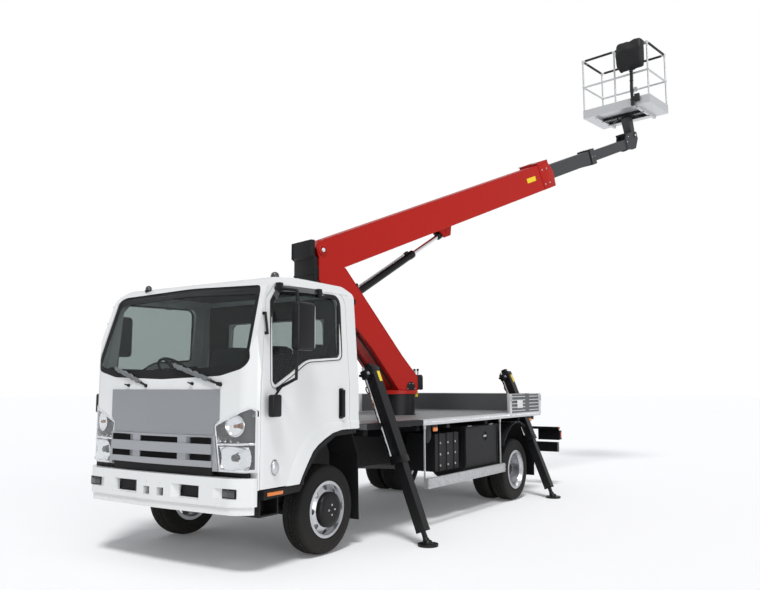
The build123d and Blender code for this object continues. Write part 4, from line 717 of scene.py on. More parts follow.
def make_door_trim():
    """The left side's trim, mirrored on the right."""
    window = dense(rounded(DOOR_WINDOW, 6))
    gasket = Piece().add(form_band(shrunk(window, -0.024), shrunk(window, 0.016), window_point, 0.004))
    gasket.twins("window_gasket", "door_{}", PLASTIC, "black_plastic", angle=60)

    handle = Piece().add(form_slab(round_box(0.085, 0.15, 1.16, 1.43, 0.018), "X", 0.996, 1.007, 0.003))
    handle.add(form_slab(round_box(0.102, 0.138, 1.172, 1.418, 0.012), "X", 0.999, 1.037, 0.006))
    handle.add(form_bar((1, 0.136, 1.205), (1.012, 0.136, 1.205), 0.009))
    handle.twins("door_handle", "door_{}", BLACK, "black_plastic")

    rows = []
    for y, z in ((-0.748, 2.18), (-0.7, 2.252), (-0.56, 2.268), (-0.38, 2.276), (-0.2, 2.28), (-0.1, 2.274)):
        x = CAB.side(y, min(z + 0.004, 2.282), 0.94)
        rows.append([(x + out, y, z + up) for out, up in (
            (0.003, 0.012), (0.038, -0.035), (0.041, -0.033), (0.006, 0.017))])
    visor = Piece().add(form_skin(rows))
    for y in (-0.69, -0.17):
        x = CAB.side(y, 2.27, 0.94)
        visor.add(form_box(x, x + 0.048, y - 0.024, y + 0.024, 2.222, 2.298, 0.006), 1)
    visor.twins("rain_visor", "door_{}", [LENS_DARK, BLACK], "black_plastic")

    for side, sign in SIDES:
        grip = Piece()
        for y, z in ((-0.874, 2.03), (-0.858, 1.872)):
            x = CAB.side(y, z, 0.985)
            grip.add(form_box(sign * x, sign * (x + 0.02), y - 0.012, y + 0.012, z - 0.012, z + 0.012, 0.004))
        a, b = [Vector((sign * (CAB.side(y, z, 0.985) + 0.024), y, z)) for y, z in ((-0.874, 2.04), (-0.858, 1.862))]
        grip.add(form_run([a, (a + b) / 2, b], 0.01, 10, 4))
        grip.done("pillar_grip_" + side, "chassis", BLACK, "black_plastic")

    lamp = Piece()
    at = along_x(CAB.side(-0.77, 0.812), -0.77, 0.812)
    lamp.add(form_turned([(0, 0), (0.052, 0), (0.053, 0.006), (0.049, 0.01)], 32,
                         at @ Matrix.Diagonal((1.25, 0.9, 1, 1))))
    lamp.add(form_turned([(0.047, 0.006), (0.046, 0.016), (0.038, 0.026), (0.02, 0.031), (0, 0.032)], 32,
                         at @ Matrix.Diagonal((1.2, 0.86, 1, 1))), 1)
    lamp.twins("side_repeater", "door_{}", [CHROME, STEEL], "lamp_clear", angle=50)

    # Arch lip's outer and inner edge in y and z, on the door and behind it
    door = [(-0.62, 0.652, -0.462, 0.652), (-0.56, 0.78, -0.425, 0.716), (-0.474, 0.915, -0.35, 0.822),
            (-0.395, 1.01, -0.285, 0.905), (-0.311, 1.074, -0.215, 0.955), (-0.19, 1.118, -0.115, 1.003),
            (-0.057, 1.136, -0.01, 1.043), (0.12, 1.142, 0.12, 1.064), (0.247, 1.143, 0.247, 1.066)]
    cab = [(0.253, 1.143, 0.253, 1.066), (0.388, 1.143, 0.388, 1.066)]
    for name, body, line in (("door", "door_{}", door), ("cab", "chassis", cab)):
        rows = [[(0.99, y, z), (1.0005, y, z), (1.009, y + (p - y) * 0.16, z + (q - z) * 0.16), (1.01, p, q),
                 (0.99, p, q)] for y, z, p, q in line]
        Piece().add(form_skin(rows)).twins("arch_flare_" + name, body, WHITE, "white_paint", angle=30)


def make_grille_trim():
    skin = Surface("cab_shell")
    backing = Piece()
    for z0, z1, half in ((0.862, 0.92, 0.612), (0.992, 1.052, 0.606)):
        rows = [[(x, skin.front(x, z) - out, z) for z, out in ((z0, 0.0004), (z0, 0.0026), (z1, 0.0026), (z1, 0.0004))]
                for x in [-half + 2 * half * k / 24 for k in range(25)]]
        backing.add(form_skin(rows))
    backing.add(form_slab(rounded([(-0.6, 0.7, 0.03), (0.6, 0.7, 0.03), (0.6, 0.8155, 0.01), (-0.6, 0.8155, 0.01)]),
                          "Y", -1.048, -1.02))
    backing.add(form_box(-0.93, 0.93, -0.985, -0.955, 0.742, 0.786, 0.006))
    backing.done("grille_backing", "chassis", PLASTIC, "black_plastic")
    repeat_piece("grille_mesh", "chassis", PLASTIC, None, ROW, form_box(-0.0015, 0.0015, 0, 0.007, 0, 0.052),
                 [shift(-0.594, -1.0725, z) for z in (0.865, 0.996)], Count=100, Step=(0.012, 0, 0))

    fog = Piece()
    fog.both(form_box(0.738, 0.882, -1.07, -1.05, 0.593, 0.665, 0.004))
    fog.both(form_box(0.746, 0.874, -1.0745, -1.066, 0.6, 0.658, 0.006), 1)
    fog.both(form_turned([(0.024, 0), (0.022, 0.004), (0.01, 0.006), (0, 0.0065)], 24,
                         shift(0.81, -1.0735, 0.629, 90, "X")), 1)
    # Dark net behind the air opening and the square hole
    fog.both(form_box(0.262, 0.508, -1.05, -1.042, 0.57, 0.672))
    fog.both(form_box(0.04, 0.126, -1.058, -1.05, 0.563, 0.64))
    fog.done("fog_lamps", "chassis", [PLASTIC, LENS_DARK], "lamp_clear")


LAMP = [(0.672, 0.792, 0.02), (0.617, 1.143, 0.01), (0.945, 1.286, 0.02), (0.985, 1.262, 0.02), (0.985, 0.8, 0.01)]
LAMP_MIDDLE = (0.82, 1.0)


def make_headlamps():
    skin = Surface("headlamps")
    outline = dense(rounded(LAMP, 4), 0.03)
    cover, housing, bowls = Piece(), Piece(), Piece()
    cx, cz = LAMP_MIDDLE

    def at(x, z, back=0.0):
        """A point on the lamp's face, or back from it."""
        return Vector((x, skin.front(x + (cx - x) * 0.03, z + (cz - z) * 0.03, -0.96) + back, z))

    def facing(x, z, back):
        return Matrix.Translation(at(x, z, back)) @ shift(0, 0, 0, 90, "X") @ shift(0, 0, 0, 14, "Y")

    for target, depth in ((cover, 0), (housing, 0.048)):
        part = bmesh.new()
        rims = []
        for back in (depth, depth + 0.003):
            rings = [[part.verts.new(at(cx + (x - cx) * s, cz + (z - cz) * s, back)) for x, z in outline]
                     for s in (1, 0.8, 0.6, 0.4, 0.2)] + [[part.verts.new(at(cx, cz, back))]]
            for one, two in zip(rings, rings[1:]):
                stitch(part, one, two)
            rims.append(rings[0])
        stitch(part, *rims)
        target.both(part)
    housing.both(form_band(outline, shrunk(outline, 0.011), lambda x, z, out: at(x, z, 0.024 + out * 12), 0.002), 1)
    housing.both(form_band(shrunk(outline, -0.001), shrunk(outline, 0.006), lambda x, z, out: at(x, z, -0.001 - out),
                           0.0012), 1)
    # Round indicator bowl with its amber bulb
    bowls.both(form_turned([(0.086, 0.026), (0.083, 0.028), (0.072, 0.014), (0.048, 0.002), (0.02, -0.004),
                            (0, -0.005)], 40, facing(0.805, 1.142, 0.04)))
    bowls.both(form_turned([(0, 0), (0.014, 0), (0.015, 0.026), (0.008, 0.036), (0, 0.038)], 20,
                           facing(0.812, 1.14, 0.036)), 1)
    # Low beam with its fluted reflector
    part = bmesh.new()
    bmesh.ops.create_grid(part, x_segments=14, y_segments=12, size=0.5)
    for vert in part.verts:
        u, v = vert.co.x, vert.co.y
        flute = 0.005 * math.sin(u * 44) + 0.004 * math.sin(v * 31 + u * 9)
        vert.co = at(0.815 + u * 0.262, 0.892 + v * 0.178, 0.044 - 0.121 * (u * u + v * v) + flute)
    bowls.both(part)
    bowls.both(form_turned([(0, 0), (0.026, 0), (0.027, 0.012), (0.012, 0.02), (0, 0.021)], 24,
                           facing(0.8, 0.895, 0.034)), 2)
    # Shelf between the two, with its row of small lamps
    shelf = [at(x, 0.993 + (x - 0.63) * 0.03, 0.012) for x in (0.64, 0.7, 0.76, 0.82, 0.88, 0.94, 0.972)]
    bowls.both(form_run(shelf, 0.011, 8, 2, 0.55))
    for x in (0.655, 0.705, 0.765, 0.835):
        bowls.both(form_turned([(0, 0), (0.009, 0), (0.009, 0.006), (0, 0.01)], 12, facing(x, 1.016, 0.03)))
    panel = form_slab([(0.645, 1.006), (0.655, 1.055), (0.962, 1.066), (0.968, 1.01)], "Y", 0, 0.004)
    for vert in panel.verts:
        vert.co = at(vert.co.x, vert.co.z, 0.034 + vert.co.y)
    bowls.both(panel, 2)
    cover.done("headlamp_covers", "chassis", CLEAR, "lamp_clear", angle=60, node="headlamps")
    housing.done("headlamp_housings", "chassis", [DARK_GREY, CHROME], "lamp_clear", angle=40)
    bowls.done("headlamp_reflectors", "chassis", [CHROME, BULB, LENS_DARK], "lamp_clear", angle=70)


def make_mirrors():
    """Moulded mirror heads on bent tubes, in place of their plain solids."""
    for side, sign in SIDES:
        whole = Piece()
        for x0, x1, y0, y1, z0, z1, soft in ((1.11, 1.195, -0.72, -0.49, 1.736, 2.13, 0.03),
                                             (1.04, 1.1, -0.9, -0.79, 1.21, 1.385, 0.018)):
            whole.add(form_box(sign * x0, sign * x1, y0, y1, z0, z1, soft, 5))
            whole.add(form_box(sign * (x0 + 0.012), sign * (x1 - 0.012), y1 - 0.004, y1 + 0.0005, z0 + 0.028,
                               z1 - 0.028, 0.001), 1)
        for radius, sides, points in (
                (0.0125, 12, ((1.15, -0.685, 2.1), (1.15, -0.685, 2.2), (1.13, -0.687, 2.224), (0.936, -0.7, 2.252))),
                (0.0125, 12, ((1.15, -0.685, 1.76), (1.15, -0.685, 1.53), (1.135, -0.692, 1.503),
                              (0.992, -0.736, 1.43))),
                (0.0105, 10, ((1.03, -0.723, 1.446), (1.052, -0.79, 1.41), (1.072, -0.842, 1.378)))):
            whole.add(form_run([(sign * x, y, z) for x, y, z in points], radius, sides, 4))
        for x, y, z in ((0.985, -0.739, 1.427), (0.944, -0.7, 2.25)):
            whole.add(form_turned([(0.03, -0.004), (0.03, 0.006), (0.018, 0.016), (0, 0.018)], 20,
                                  along_x(sign * x, y, z, sign)))
        for z in (1.8, 2.06):
            whole.add(form_box(sign * 1.128, sign * 1.172, -0.724, -0.7, z - 0.03, z + 0.03, 0.006))
        whole.done("mirrors_" + side, "door_" + side, [BLACK, MIRROR_FACE], "black_plastic", angle=50,
                   node="mirror_" + side)


# Seats and controls in the cab

def form_cushion(x0, x1, y0, y1, z0, z1, crown):
    """A crowned closed cushion."""
    part = bmesh.new()
    bmesh.ops.create_cube(part, size=1.0)
    bmesh.ops.subdivide_edges(part, edges=part.edges[:], cuts=7, use_grid_fill=True)
    for vert in part.verts:
        u, v, w = (c * 2 for c in vert.co)
        pull = 1 - 0.05 * (u * u * v * v + v * v * w * w + u * u * w * w)
        swell = crown * (1 - u * u) * (1 - v * v) * (1 if w > 0 else -0.2)
        groove = 0.01 * math.exp(-((abs(u) - 0.62) / 0.05) ** 2) * (1 if w > 0.9 else 0)
        vert.co = ((x0 + x1 + u * pull * (x1 - x0)) / 2, (y0 + y1 + v * pull * (y1 - y0)) / 2,
                   (z0 + z1 + w * pull * (z1 - z0)) / 2 + swell - groove)
    return bevelled(part, [e for e in part.edges if e.is_manifold and e.calc_face_angle(0) > 0.9], 0.02, 3)


def make_interior():
    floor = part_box("seats")[0].z
    whole = Piece()
    for x0, x1 in ((-0.78, -0.24), (-0.2, 0.285), (0.3, 0.78)):
        whole.add(form_cushion(x0, x1, -0.325, 0.17, floor + 0.004, floor + 0.17, 0.018))
        half = (x1 - x0) / 2 - 0.006
        whole.add(form_cushion(-half, half, -0.29, 0.29, -0.055, 0.055, 0.016), 0,
                  shift((x0 + x1) / 2, 0.215, floor + 0.155, -7, "X") @ shift(0, 0, 0.295, 90, "X"))
    seats = whole.done("seat_cushions", "chassis", CLOTH, "seat_cloth", angle=60, node="seats")

    dials = Piece()
    cluster = rounded([(-0.84, 1.47, 0.02), (-0.7, 1.445, 0.02), (-0.69, 1.535, 0.03), (-0.83, 1.57, 0.03)])
    dials.add(form_slab(cluster, "X", -0.66, -0.24, 0.008))
    dials.add(form_box(-0.06, 0.22, -0.726, -0.696, 1.25, 1.42, 0.006), 1)
    for x in (-0.02, 0.08, 0.18):
        dials.add(form_bar((x, -0.694, 1.29), (x, -0.678, 1.29), 0.02, 20, 0.017, 0.003))
    dials.add(form_bar((-0.58, -0.66, 1.455), (-0.69, -0.6, 1.475), 0.009, 8))
    dials.done("dash_controls", "chassis", [INSIDE_PAINTED_SHADE, LENS_DARK], "grey_plastic")

    lining = Piece().add(form_box(-0.86, 0.86, -0.6, 0.3, 2.322, 2.334, 0.004))
    for z0, z1 in ((1.12, 1.63), (2.09, 2.28)):
        lining.add(form_box(-0.9, 0.9, 0.33, 0.342, z0, z1))
    lining.both(form_box(0.63, 0.9, 0.33, 0.342, 1.63, 2.09))
    lining.done("cab_lining", "chassis", INSIDE_PAINTED_SHADE, "grey_plastic")
    panel = Piece()
    panel.add(form_slab(rounded([(-0.8, 1.08, 0.03), (0.22, 1.08, 0.03), (0.22, 1.66, 0.04), (-0.35, 1.62, 0.2),
                                 (-0.56, 1.5, 0.2), (-0.8, 1.41, 0.03)]), "X", 0.938, 0.953, 0.004))
    panel.add(form_box(0.9, 0.953, -0.3, 0.1, 1.33, 1.39, 0.012))
    panel.twins("door_lining", "door_{}", INSIDE_PAINTED_SHADE, "grey_plastic")


# Under the cab and along the sides

def make_underside():
    path = [(-0.452, 0.64), (-0.44, 0.7), (-0.35, 0.815), (-0.268, 0.905), (-0.13, 0.975), (0.018, 1.036),
            (0.2, 1.048), (0.385, 1.05), (0.385, 1.058), (0.2, 1.056), (0.014, 1.045), (-0.134, 0.984),
            (-0.276, 0.912), (-0.358, 0.821), (-0.45, 0.705), (-0.462, 0.64)]
    Piece().both(form_slab(path, "X", 0.445, 0.88)).done("arch_liners", "chassis", PLASTIC, "black_plastic")

    gear = Piece()
    # Bolts round the leaf springs
    for middle, z in ((0, 0.3), (WHEELBASE, 0.32)):
        for y in (middle - 0.05, middle + 0.05):
            for x in (0.355, -0.355):
                gear.add(form_run([(x - 0.048, y, z), (x - 0.048, y, 0.465), (x, y, 0.492), (x + 0.048, y, 0.465),
                                   (x + 0.048, y, z)], 0.008, 8, 3))
    for sign in (1, -1):
        gear.add(form_bar((sign * 0.455, -0.3, 0.66), (sign * 0.445, -0.05, 0.34), 0.028, 14))
        gear.add(form_bar((sign * 0.455, -0.38, 0.76), (sign * 0.455, -0.3, 0.66), 0.018, 12), 1)
        gear.add(form_bar((sign * 0.25, 3.45, 0.74), (sign * 0.28, 3.72, 0.46), 0.028, 14))
    gear.both(form_bar((0.3, 2.78, 0.7), (0.3, 3.28, 0.7), 0.095, 28, soft=0.012))
    gear.done("axle_fittings", "chassis", [CHASSIS, ZINC], "frame_paint")

    lines = Piece()
    for x, z in ((0.322, 0.78), (0.322, 0.765), (-0.322, 0.78)):
        lines.add(form_run([(x, y, z - sag) for y, sag in ((-0.6, 0), (0.5, 0.01), (1.6, 0), (2.7, 0.008), (4.2, 0))],
                           0.007, 6, 3))
    lines.done("brake_lines", "chassis", PLASTIC, "black_plastic")
    rivets = form_turned([(0.011, 0), (0.011, 0.004), (0.006, 0.008), (0, 0.009)], 10)
    places = [along_x(sign * 0.4, 1.3, z, sign) for sign in (1, -1) for z in (0.64, 0.78)]
    repeat_piece("rail_rivets", "chassis", CHASSIS, "frame_paint", ROW, rivets, places, Count=26, Step=(0, 0.15, 0))


def make_side_boxes():
    straps = Piece()
    for y in (1.94, 2.11, 2.28):
        straps.add(form_box(0.98, 0.99, y - 0.022, y + 0.022, 0.528, 0.934, 0.002))
        straps.add(form_box(0.72, 0.99, y - 0.022, y + 0.022, 0.928, 0.936, 0.002))
        for z in (0.59, 0.71, 0.83):
            straps.add(form_bar((0.988, y, z), (0.998, y, z), 0.012, 6), 1)
    for y in (1.72, 2.04, 2.36):
        straps.add(form_run([(-0.69, y, 0.872), (-0.95, y, 0.874), (-0.987, y, 0.83), (-0.988, y, 0.5),
                             (-0.95, y, 0.446)], 0.012, 6, 3, 2.0))
    straps.add(form_bar((-0.9, 1.64, 0.86), (-0.9, 1.64, 0.905), 0.045, 24, soft=0.006))
    straps.done("box_straps", "chassis", [PLASTIC, ZINC], "black_plastic")

    ribs = Piece()
    for y0, y1 in ((2.5, 2.52), (3.334, 3.352)):
        ribs.add(form_box(1.01, 1.018, y0, y1, 0.54, 0.955, 0.003))
    ribs.add(form_box(1.01, 1.02, 2.5, 3.352, 0.955, 0.971, 0.003))
    ribs.add(form_turned([(0, 0), (0.05, 0), (0.0505, 0.009), (0.058, 0.0115), (0.06, 0.009)], 32,
                         along_x(1.003, 3.01, 0.85)))
    ribs.add(form_box(1.004, 1.016, 2.974, 3.046, 0.838, 0.862, 0.003), 1)
    ribs.done("toolbox_latch", "toolbox_lid", [PLASTIC, ZINC], "black_plastic")
    for y in (2.62, 3.2):
        hinge = Piece().add(form_bar((1.004, y - 0.05, 0.982), (1.004, y + 0.05, 0.982), 0.006, 10))
        hinge.done("toolbox_hinge_%d" % round(y * 100), "chassis", ZINC, "galvanised")

    rail = Piece()
    for z in (0.402, 0.486):
        rail.both(form_box(1.088, 1.0945, 1.512, 3.396, z - 0.006, z + 0.012, 0.002))
    gusset = rounded([(1.545, 1.043, 0), (1.668, 1.043, 0), (1.668, 0.905, 0.05), (1.61, 0.85, 0.04),
                      (1.545, 0.868, 0.02)])
    rail.both(form_slab(gusset, "X", 1.03, 1.037, 0.002), 1)
    for y in (1.53, 3.39):
        rail.both(form_box(1.026, 1.045, y - 0.018, y + 0.018, 1, 1.043, 0.003))
        for z in (0.43, 0.47):
            rail.both(form_bar((1.09, y, z), (1.101, y, z), 0.008, 6))
    rail.done("guard_rail_ribs", "chassis", [ZINC, PLASTIC], "galvanised")

    markers = Piece()
    for y in (1.735, 4.325):
        markers.both(form_box(1.018, 1.046, y - 0.055, y + 0.055, 1, 1.04, 0.004))
        markers.both(form_box(1.04, 1.056, y - 0.045, y + 0.045, 0.968, 1.01, 0.008), 1)
    markers.both(form_box(0.994, 1.002, -0.838, -0.655, 0.596, 0.624, 0.003), 1)
    markers.done("side_markers", "chassis", [PLASTIC, AMBER], "lamp_clear")


# Deck

def make_deck_trim():
    edge = Piece().both(form_box(1.0502, 1.0535, 1.48, 4.7, 1.04, 1.0965))
    for y0, y1 in ((0.452, 0.712), (0.858, 1.478)):
        edge.both(form_box(1.0502, 1.0535, y0, y1, 1.046, 1.0965), 1)
        edge.both(form_box(0.975, 1.0555, y0, y1, 1.0965, 1.1, 0.001), 1)
    edge.done("deck_edge_strips", "chassis", [ALLOY, PLASTIC], "aluminium")
    tooth = form_box(0, 0.003, -0.011, 0.011, -0.014, 0.014, 0.002, 1)
    for vert in tooth.verts:
        vert.co.y += vert.co.z * 0.45
    repeat_piece("deck_edge_treads", "chassis", CHROME, "aluminium", ROW, tooth,
                 [shift(x, 1.505, 1.07) for x in (1.0535, -1.0565)], Count=82, Step=(0, 0.039, 0))
    bump = form_turned([(0.012, 0), (0.011, 0.003), (0.005, 0.0045), (0, 0.0048)], 8)
    repeat_piece("deck_edge_studs", "chassis", ALLOY, "aluminium", ROW, bump,
                 [shift(x, 1.505, DECK_TOP - 0.0005) for x in (1.032, 0.998, -1.032, -0.998)],
                 Count=54, Step=(0, 0.039, 0))

    boards = Piece()
    top = DECK_TOP + 0.24
    ridges = [(DECK_TOP + low, DECK_TOP + low + 0.012) for low in (0.022, 0.067, 0.112, 0.157, 0.202)]
    for sign, front in ((1, 3.66), (-1, 3.28)):
        def side_box(x0, x1, *rest, finish=0):
            boards.add(form_box(sign * x0, sign * x1, *rest), finish)

        for z0, z1 in ridges:
            side_box(1.0502, 1.0565, front + 0.075, 4.165, z0, z1, 0.003)
            side_box(1.0502, 1.0565, 4.305, 4.64, z0, z1, 0.003)
        for y in (front + 0.03, 4.67):
            side_box(1.018, 1.062, y - 0.03, y + 0.03, DECK_TOP - 0.03, top + 0.006, 0.005)
            side_box(1.06, 1.075, y - 0.012, y + 0.012, top - 0.09, top - 0.02, 0.004, finish=2)
        side_box(1.0225, 1.025, front + 0.062, 4.16, DECK_TOP + 0.002, top - 0.002, finish=1)
        side_box(1.0225, 1.025, 4.31, 4.64, DECK_TOP + 0.002, top - 0.002, finish=1)
        side_box(1.02, 1.054, front + 0.06, 4.164, top - 0.003, top + 0.005, 0.002)
        side_box(1.02, 1.054, 4.306, 4.64, top - 0.003, top + 0.005, 0.002)
    for z0, z1 in ridges:
        boards.add(form_box(-1, 1, 4.7002, 4.706, z0, z1, 0.003))
    boards.add(form_box(-1.01, 1.01, 4.6745, 4.6775, DECK_TOP + 0.002, top - 0.002), 1)
    boards.add(form_box(-1.01, 1.01, 4.671, 4.704, top - 0.003, top + 0.005, 0.002))
    for x in (-0.7, 0, 0.7):
        boards.add(form_box(x - 0.03, x + 0.03, 4.7, 4.712, DECK_TOP - 0.045, DECK_TOP + 0.06, 0.003), 2)
        boards.add(form_bar((x - 0.045, 4.709, DECK_TOP - 0.002), (x + 0.045, 4.709, DECK_TOP - 0.002), 0.009, 12), 2)
    boards.add(form_box(1.0555, 1.0575, 3.9, 4.08, DECK_TOP + 0.06, DECK_TOP + 0.16, 0.001), 3)
    boards.done("board_profiles", "chassis", [ALLOY, BOARD, ZINC, LABEL], "aluminium")


def make_rear_trim():
    rear = Piece()
    for x0, x1, lens in ((0.703, 0.795, 2), (0.805, 0.91, 1), (0.92, 1.022, 1)):
        rear.both(form_box(x0, x1, 5.559, 5.566, 0.664, 0.778, 0.003), lens)
    rear.both(form_box(1.029, 1.035, 5.505, 5.548, 0.68, 0.764, 0.002), 1)
    rear.both(form_box(1.029, 1.035, 5.446, 5.472, 0.808, 0.838, 0.002), 2)
    rear.both(form_box(0.62, 0.99, 5.442, 5.445, 0.51, 0.6), 1)
    rear.add(form_box(-0.26, 0.26, 5.5, 5.508, 0.735, 0.85, 0.003))
    rear.add(form_box(-0.05, 0.05, 5.5, 5.52, 0.852, 0.872, 0.004))
    rear.both(form_bar((0.2, 5.507, 0.8), (0.2, 5.513, 0.8), 0.008, 6))
    for z in (0.7, 0.79):
        rear.both(form_bar((0.09, 5.36, z), (0.09, 5.372, z), 0.011, 6))
    rear.done("rear_lamp_trim", "chassis", [BLACK, REFLEX, AMBER], "lamp_red")

    guards = Piece()
    lines = [[]]
    for k in range(25):
        angle = math.radians(214 - 214 * k / 24)
        y, z = 3.895 + 0.5305 * math.cos(angle), AXLE_Z + 0.5955 * math.sin(angle)
        if (y < 3.895 and z < 0.7) or z < 0.385 or 4.155 < y < 4.315:
            lines.append([])
        else:
            lines[-1].append((1.056, y, z))
    for line in lines:
        if len(line) > 1:
            guards.both(form_run(line, 0.007, 8, 2))
    guards.done("mudguard_beads", "chassis", PLASTIC, "black_plastic")


# Outriggers

def make_outriggers():
    """Fittings of the left legs along their tilted tubes, with their mirror images on the right."""
    low, high = [z / math.cos(math.radians(LEG_TILT)) for z in (0.73, 1.62)]
    for end, foot, y in LEGS:
        tube = shift(foot, y, 0, -LEG_TILT, "Y")
        fixed = Piece()
        # Welded collar at the tube's end, cap and plates on top
        for z0, z1, w in ((low - 0.002, low + 0.055, 0.0665), (high - 0.05, high - 0.005, 0.0655),
                          (high - 0.006, high + 0.008, 0.058)):
            fixed.add(form_box(-w, w, -w, w, z0, z1, 0.004))
        # Valve block on the side towards the truck's front
        fixed.add(form_box(-0.052, 0.018, -0.118, -0.06, high - 0.105, high - 0.02, 0.006))
        fixed.add(form_bar((-0.06, -0.092, high - 0.06), (0.03, -0.092, high - 0.06), 0.017), 3)
        fixed.add(form_bar((-0.02, -0.092, high - 0.022), (-0.02, -0.092, high + 0.012), 0.013, 6), 3)
        fixed.add(form_bar((-0.045, -0.118, high - 0.062), (-0.045, -0.145, high - 0.062), 0.014, 6))
        turns = [k * math.pi / 6 for k in range(13)]
        fixed.add(form_run([(-0.035, -0.098 + 0.034 * math.cos(a), high - 0.215 + 0.034 * math.sin(a)) for a in turns],
                           0.0065, 8, 2))
        # Fixed pressure pipe with its clamps and fittings
        fixed.add(form_run([(-0.03, -0.082, high - drop) for drop in (0.1, 0.45, 0.62, 0.86)], 0.0075, 8, 2), 1)
        for z in [high - drop for drop in (0.3, 0.47, 0.6, 0.73, 0.86)]:
            fixed.add(form_bar((-0.03, -0.082, z - 0.018), (-0.03, -0.082, z + 0.018), 0.0125, 6), 1)
            fixed.add(form_box(-0.044, -0.016, -0.08, -0.06, z - 0.008, z + 0.008, 0.002))
        for z in [high - 0.2 - 0.045 * k for k in range(5)]:
            fixed.add(form_bar((-0.044, -0.07, z - 0.016), (-0.044, -0.07, z + 0.016), 0.01, 8), 4)
        fixed.add(form_box(0.0615, 0.0632, 0.006, 0.052, high - 0.155, high - 0.045, 0.0006), 2)
        fixed.twins("outrigger_fittings_" + end, "chassis", [BLACK, CHROME, YELLOW, ZINC, AMBER], "black_paint", tube)

        moving = Piece().add(form_box(-0.05, 0.05, -0.05, 0.05, 0.13, 0.148, 0.003))
        moving.add(form_turned([(0, 0.02), (0.028, 0.024), (0.034, 0.038), (0.033, 0.056), (0.0255, 0.07),
                                (0.0235, 0.09), (0.0235, 0.13), (0, 0.13)], 28))
        moving.twins("leg_ball_" + end, "leg_" + end + "_{}", BLACK, "black_paint", tube, 50)
        pad = form_turned([(0, 0), (0.089, 0), (0.095, 0.004), (0.095, 0.016), (0.089, 0.0225), (0.062, 0.0235),
                           (0.044, 0.026), (0.038, 0.044), (0.031, 0.0505), (0, 0.0505)], 48)
        Piece().add(pad).twins("foot_pad_" + end, "leg_" + end + "_{}", BLACK, "black_paint", shift(foot, y, 0), 40)


# Turret, boom, cylinder

def make_turret():
    plate = Piece().add(form_turned([(0.238, 1.338), (0.262, 1.34), (0.262, 1.3455), (0.238, 1.3455)], 64,
                                    shift(0, 2.6, 0)))
    plate.done("pedestal_bands", "chassis", BLACK, "black_paint", angle=40)

    trim = Piece()
    # Half-round service cover on each side, low at the rear
    turns = [math.radians(a) for a in range(0, 181, 15)]
    arc = [(0.007, 1.396), (0.143, 1.396)] + [(0.075 + 0.068 * math.cos(a), 1.434 + 0.066 * math.sin(a)) for a in turns]
    trim.both(form_slab(arc, "X", 0.199, 0.2065, 0.002))
    for y, z in ((0.018, 1.412), (0.132, 1.412), (0.048, 1.476), (0.102, 1.476)):
        trim.both(form_bar((0.205, y, z), (0.21, y, z), 0.006, 8), 1)
    # Inspection hole in the column's cheek
    hole = along_x(0.1995, -0.837, 2.42)
    trim.both(form_turned([(0, 0.001), (0.041, 0.001), (0.041, 0.002), (0, 0.002)], 28, hole))
    trim.both(form_turned([(0.04, 0), (0.04, 0.003), (0.0445, 0.003), (0.046, 0)], 28, hole), 2)
    # Luff pin head with its keeper plate
    head = along_x(0.207, -1.28, 2.98)
    trim.both(form_turned([(0.058, -0.009), (0.06, 0.002), (0.056, 0.006), (0.04, 0.0075)], 36, head), 2)
    trim.both(form_turned([(0.024, 0.005), (0.024, 0.012), (0.02, 0.0155), (0, 0.0165)], 28, head), 3)
    trim.both(form_run([(0.125, y, z) for y, z in ((-0.165, 1.43), (-0.36, 1.655), (-0.56, 1.882), (-0.8, 2.12),
                                                   (-1.05, 2.36), (-1.3, 2.61))], 0.011, 8, 2))
    trim.done("column_trim", "turret", [PLASTIC, ZINC, RED, LABEL], "red_paint", TURRET, 40)

    # Weld beads where plates meet
    welds = Piece()
    for line in (((0.186, 1.398), (0.186, 1.56), (-0.064, 1.808), (-0.955, 2.806)),
                 ((-0.119, 1.398), (-0.544, 1.89), (-1.328, 2.638), (-1.328, 2.9))):
        for x in (-0.199, 0.199):
            welds.add(form_run([(x, y, z) for y, z in line], 0.005, 6))
    welds.add(form_run([(-0.2, 0.192, 1.398), (0.2, 0.192, 1.398), (0.202, -0.122, 1.398), (-0.2, -0.122, 1.398),
                        (-0.202, 0.19, 1.398)], 0.007, 6))
    welds.done("column_welds", "turret", RED, "red_paint", TURRET, 60)

    valves = Piece()
    for x in (-0.09, -0.03, 0.03, 0.09):
        valves.add(form_box(x - 0.024, x + 0.024, 0.346, 0.368, 1.415, 1.57, 0.005))
        valves.add(form_bar((x, 0.3, 1.583), (x, 0.3, 1.64), 0.012, 12), 1)
        valves.add(form_bar((x, 0.3, 1.638), (x, 0.3, 1.662), 0.017, 14, 0.013))
        valves.add(form_run([(x, 0.352, 1.43), (x, 0.38, 1.412), (x * 0.8, 0.35, 1.404)], 0.009, 8, 4))
    valves.add(form_box(-0.06, 0.06, 0.272, 0.332, 1.31, 1.386, 0.006), 2)
    valves.add(form_box(-0.105, 0.105, 0.35, 0.362, 1.55, 1.588, 0.004))
    valves.done("turret_valves", "turret", [BLACK, ZINC, YELLOW], "black_plastic", TURRET)


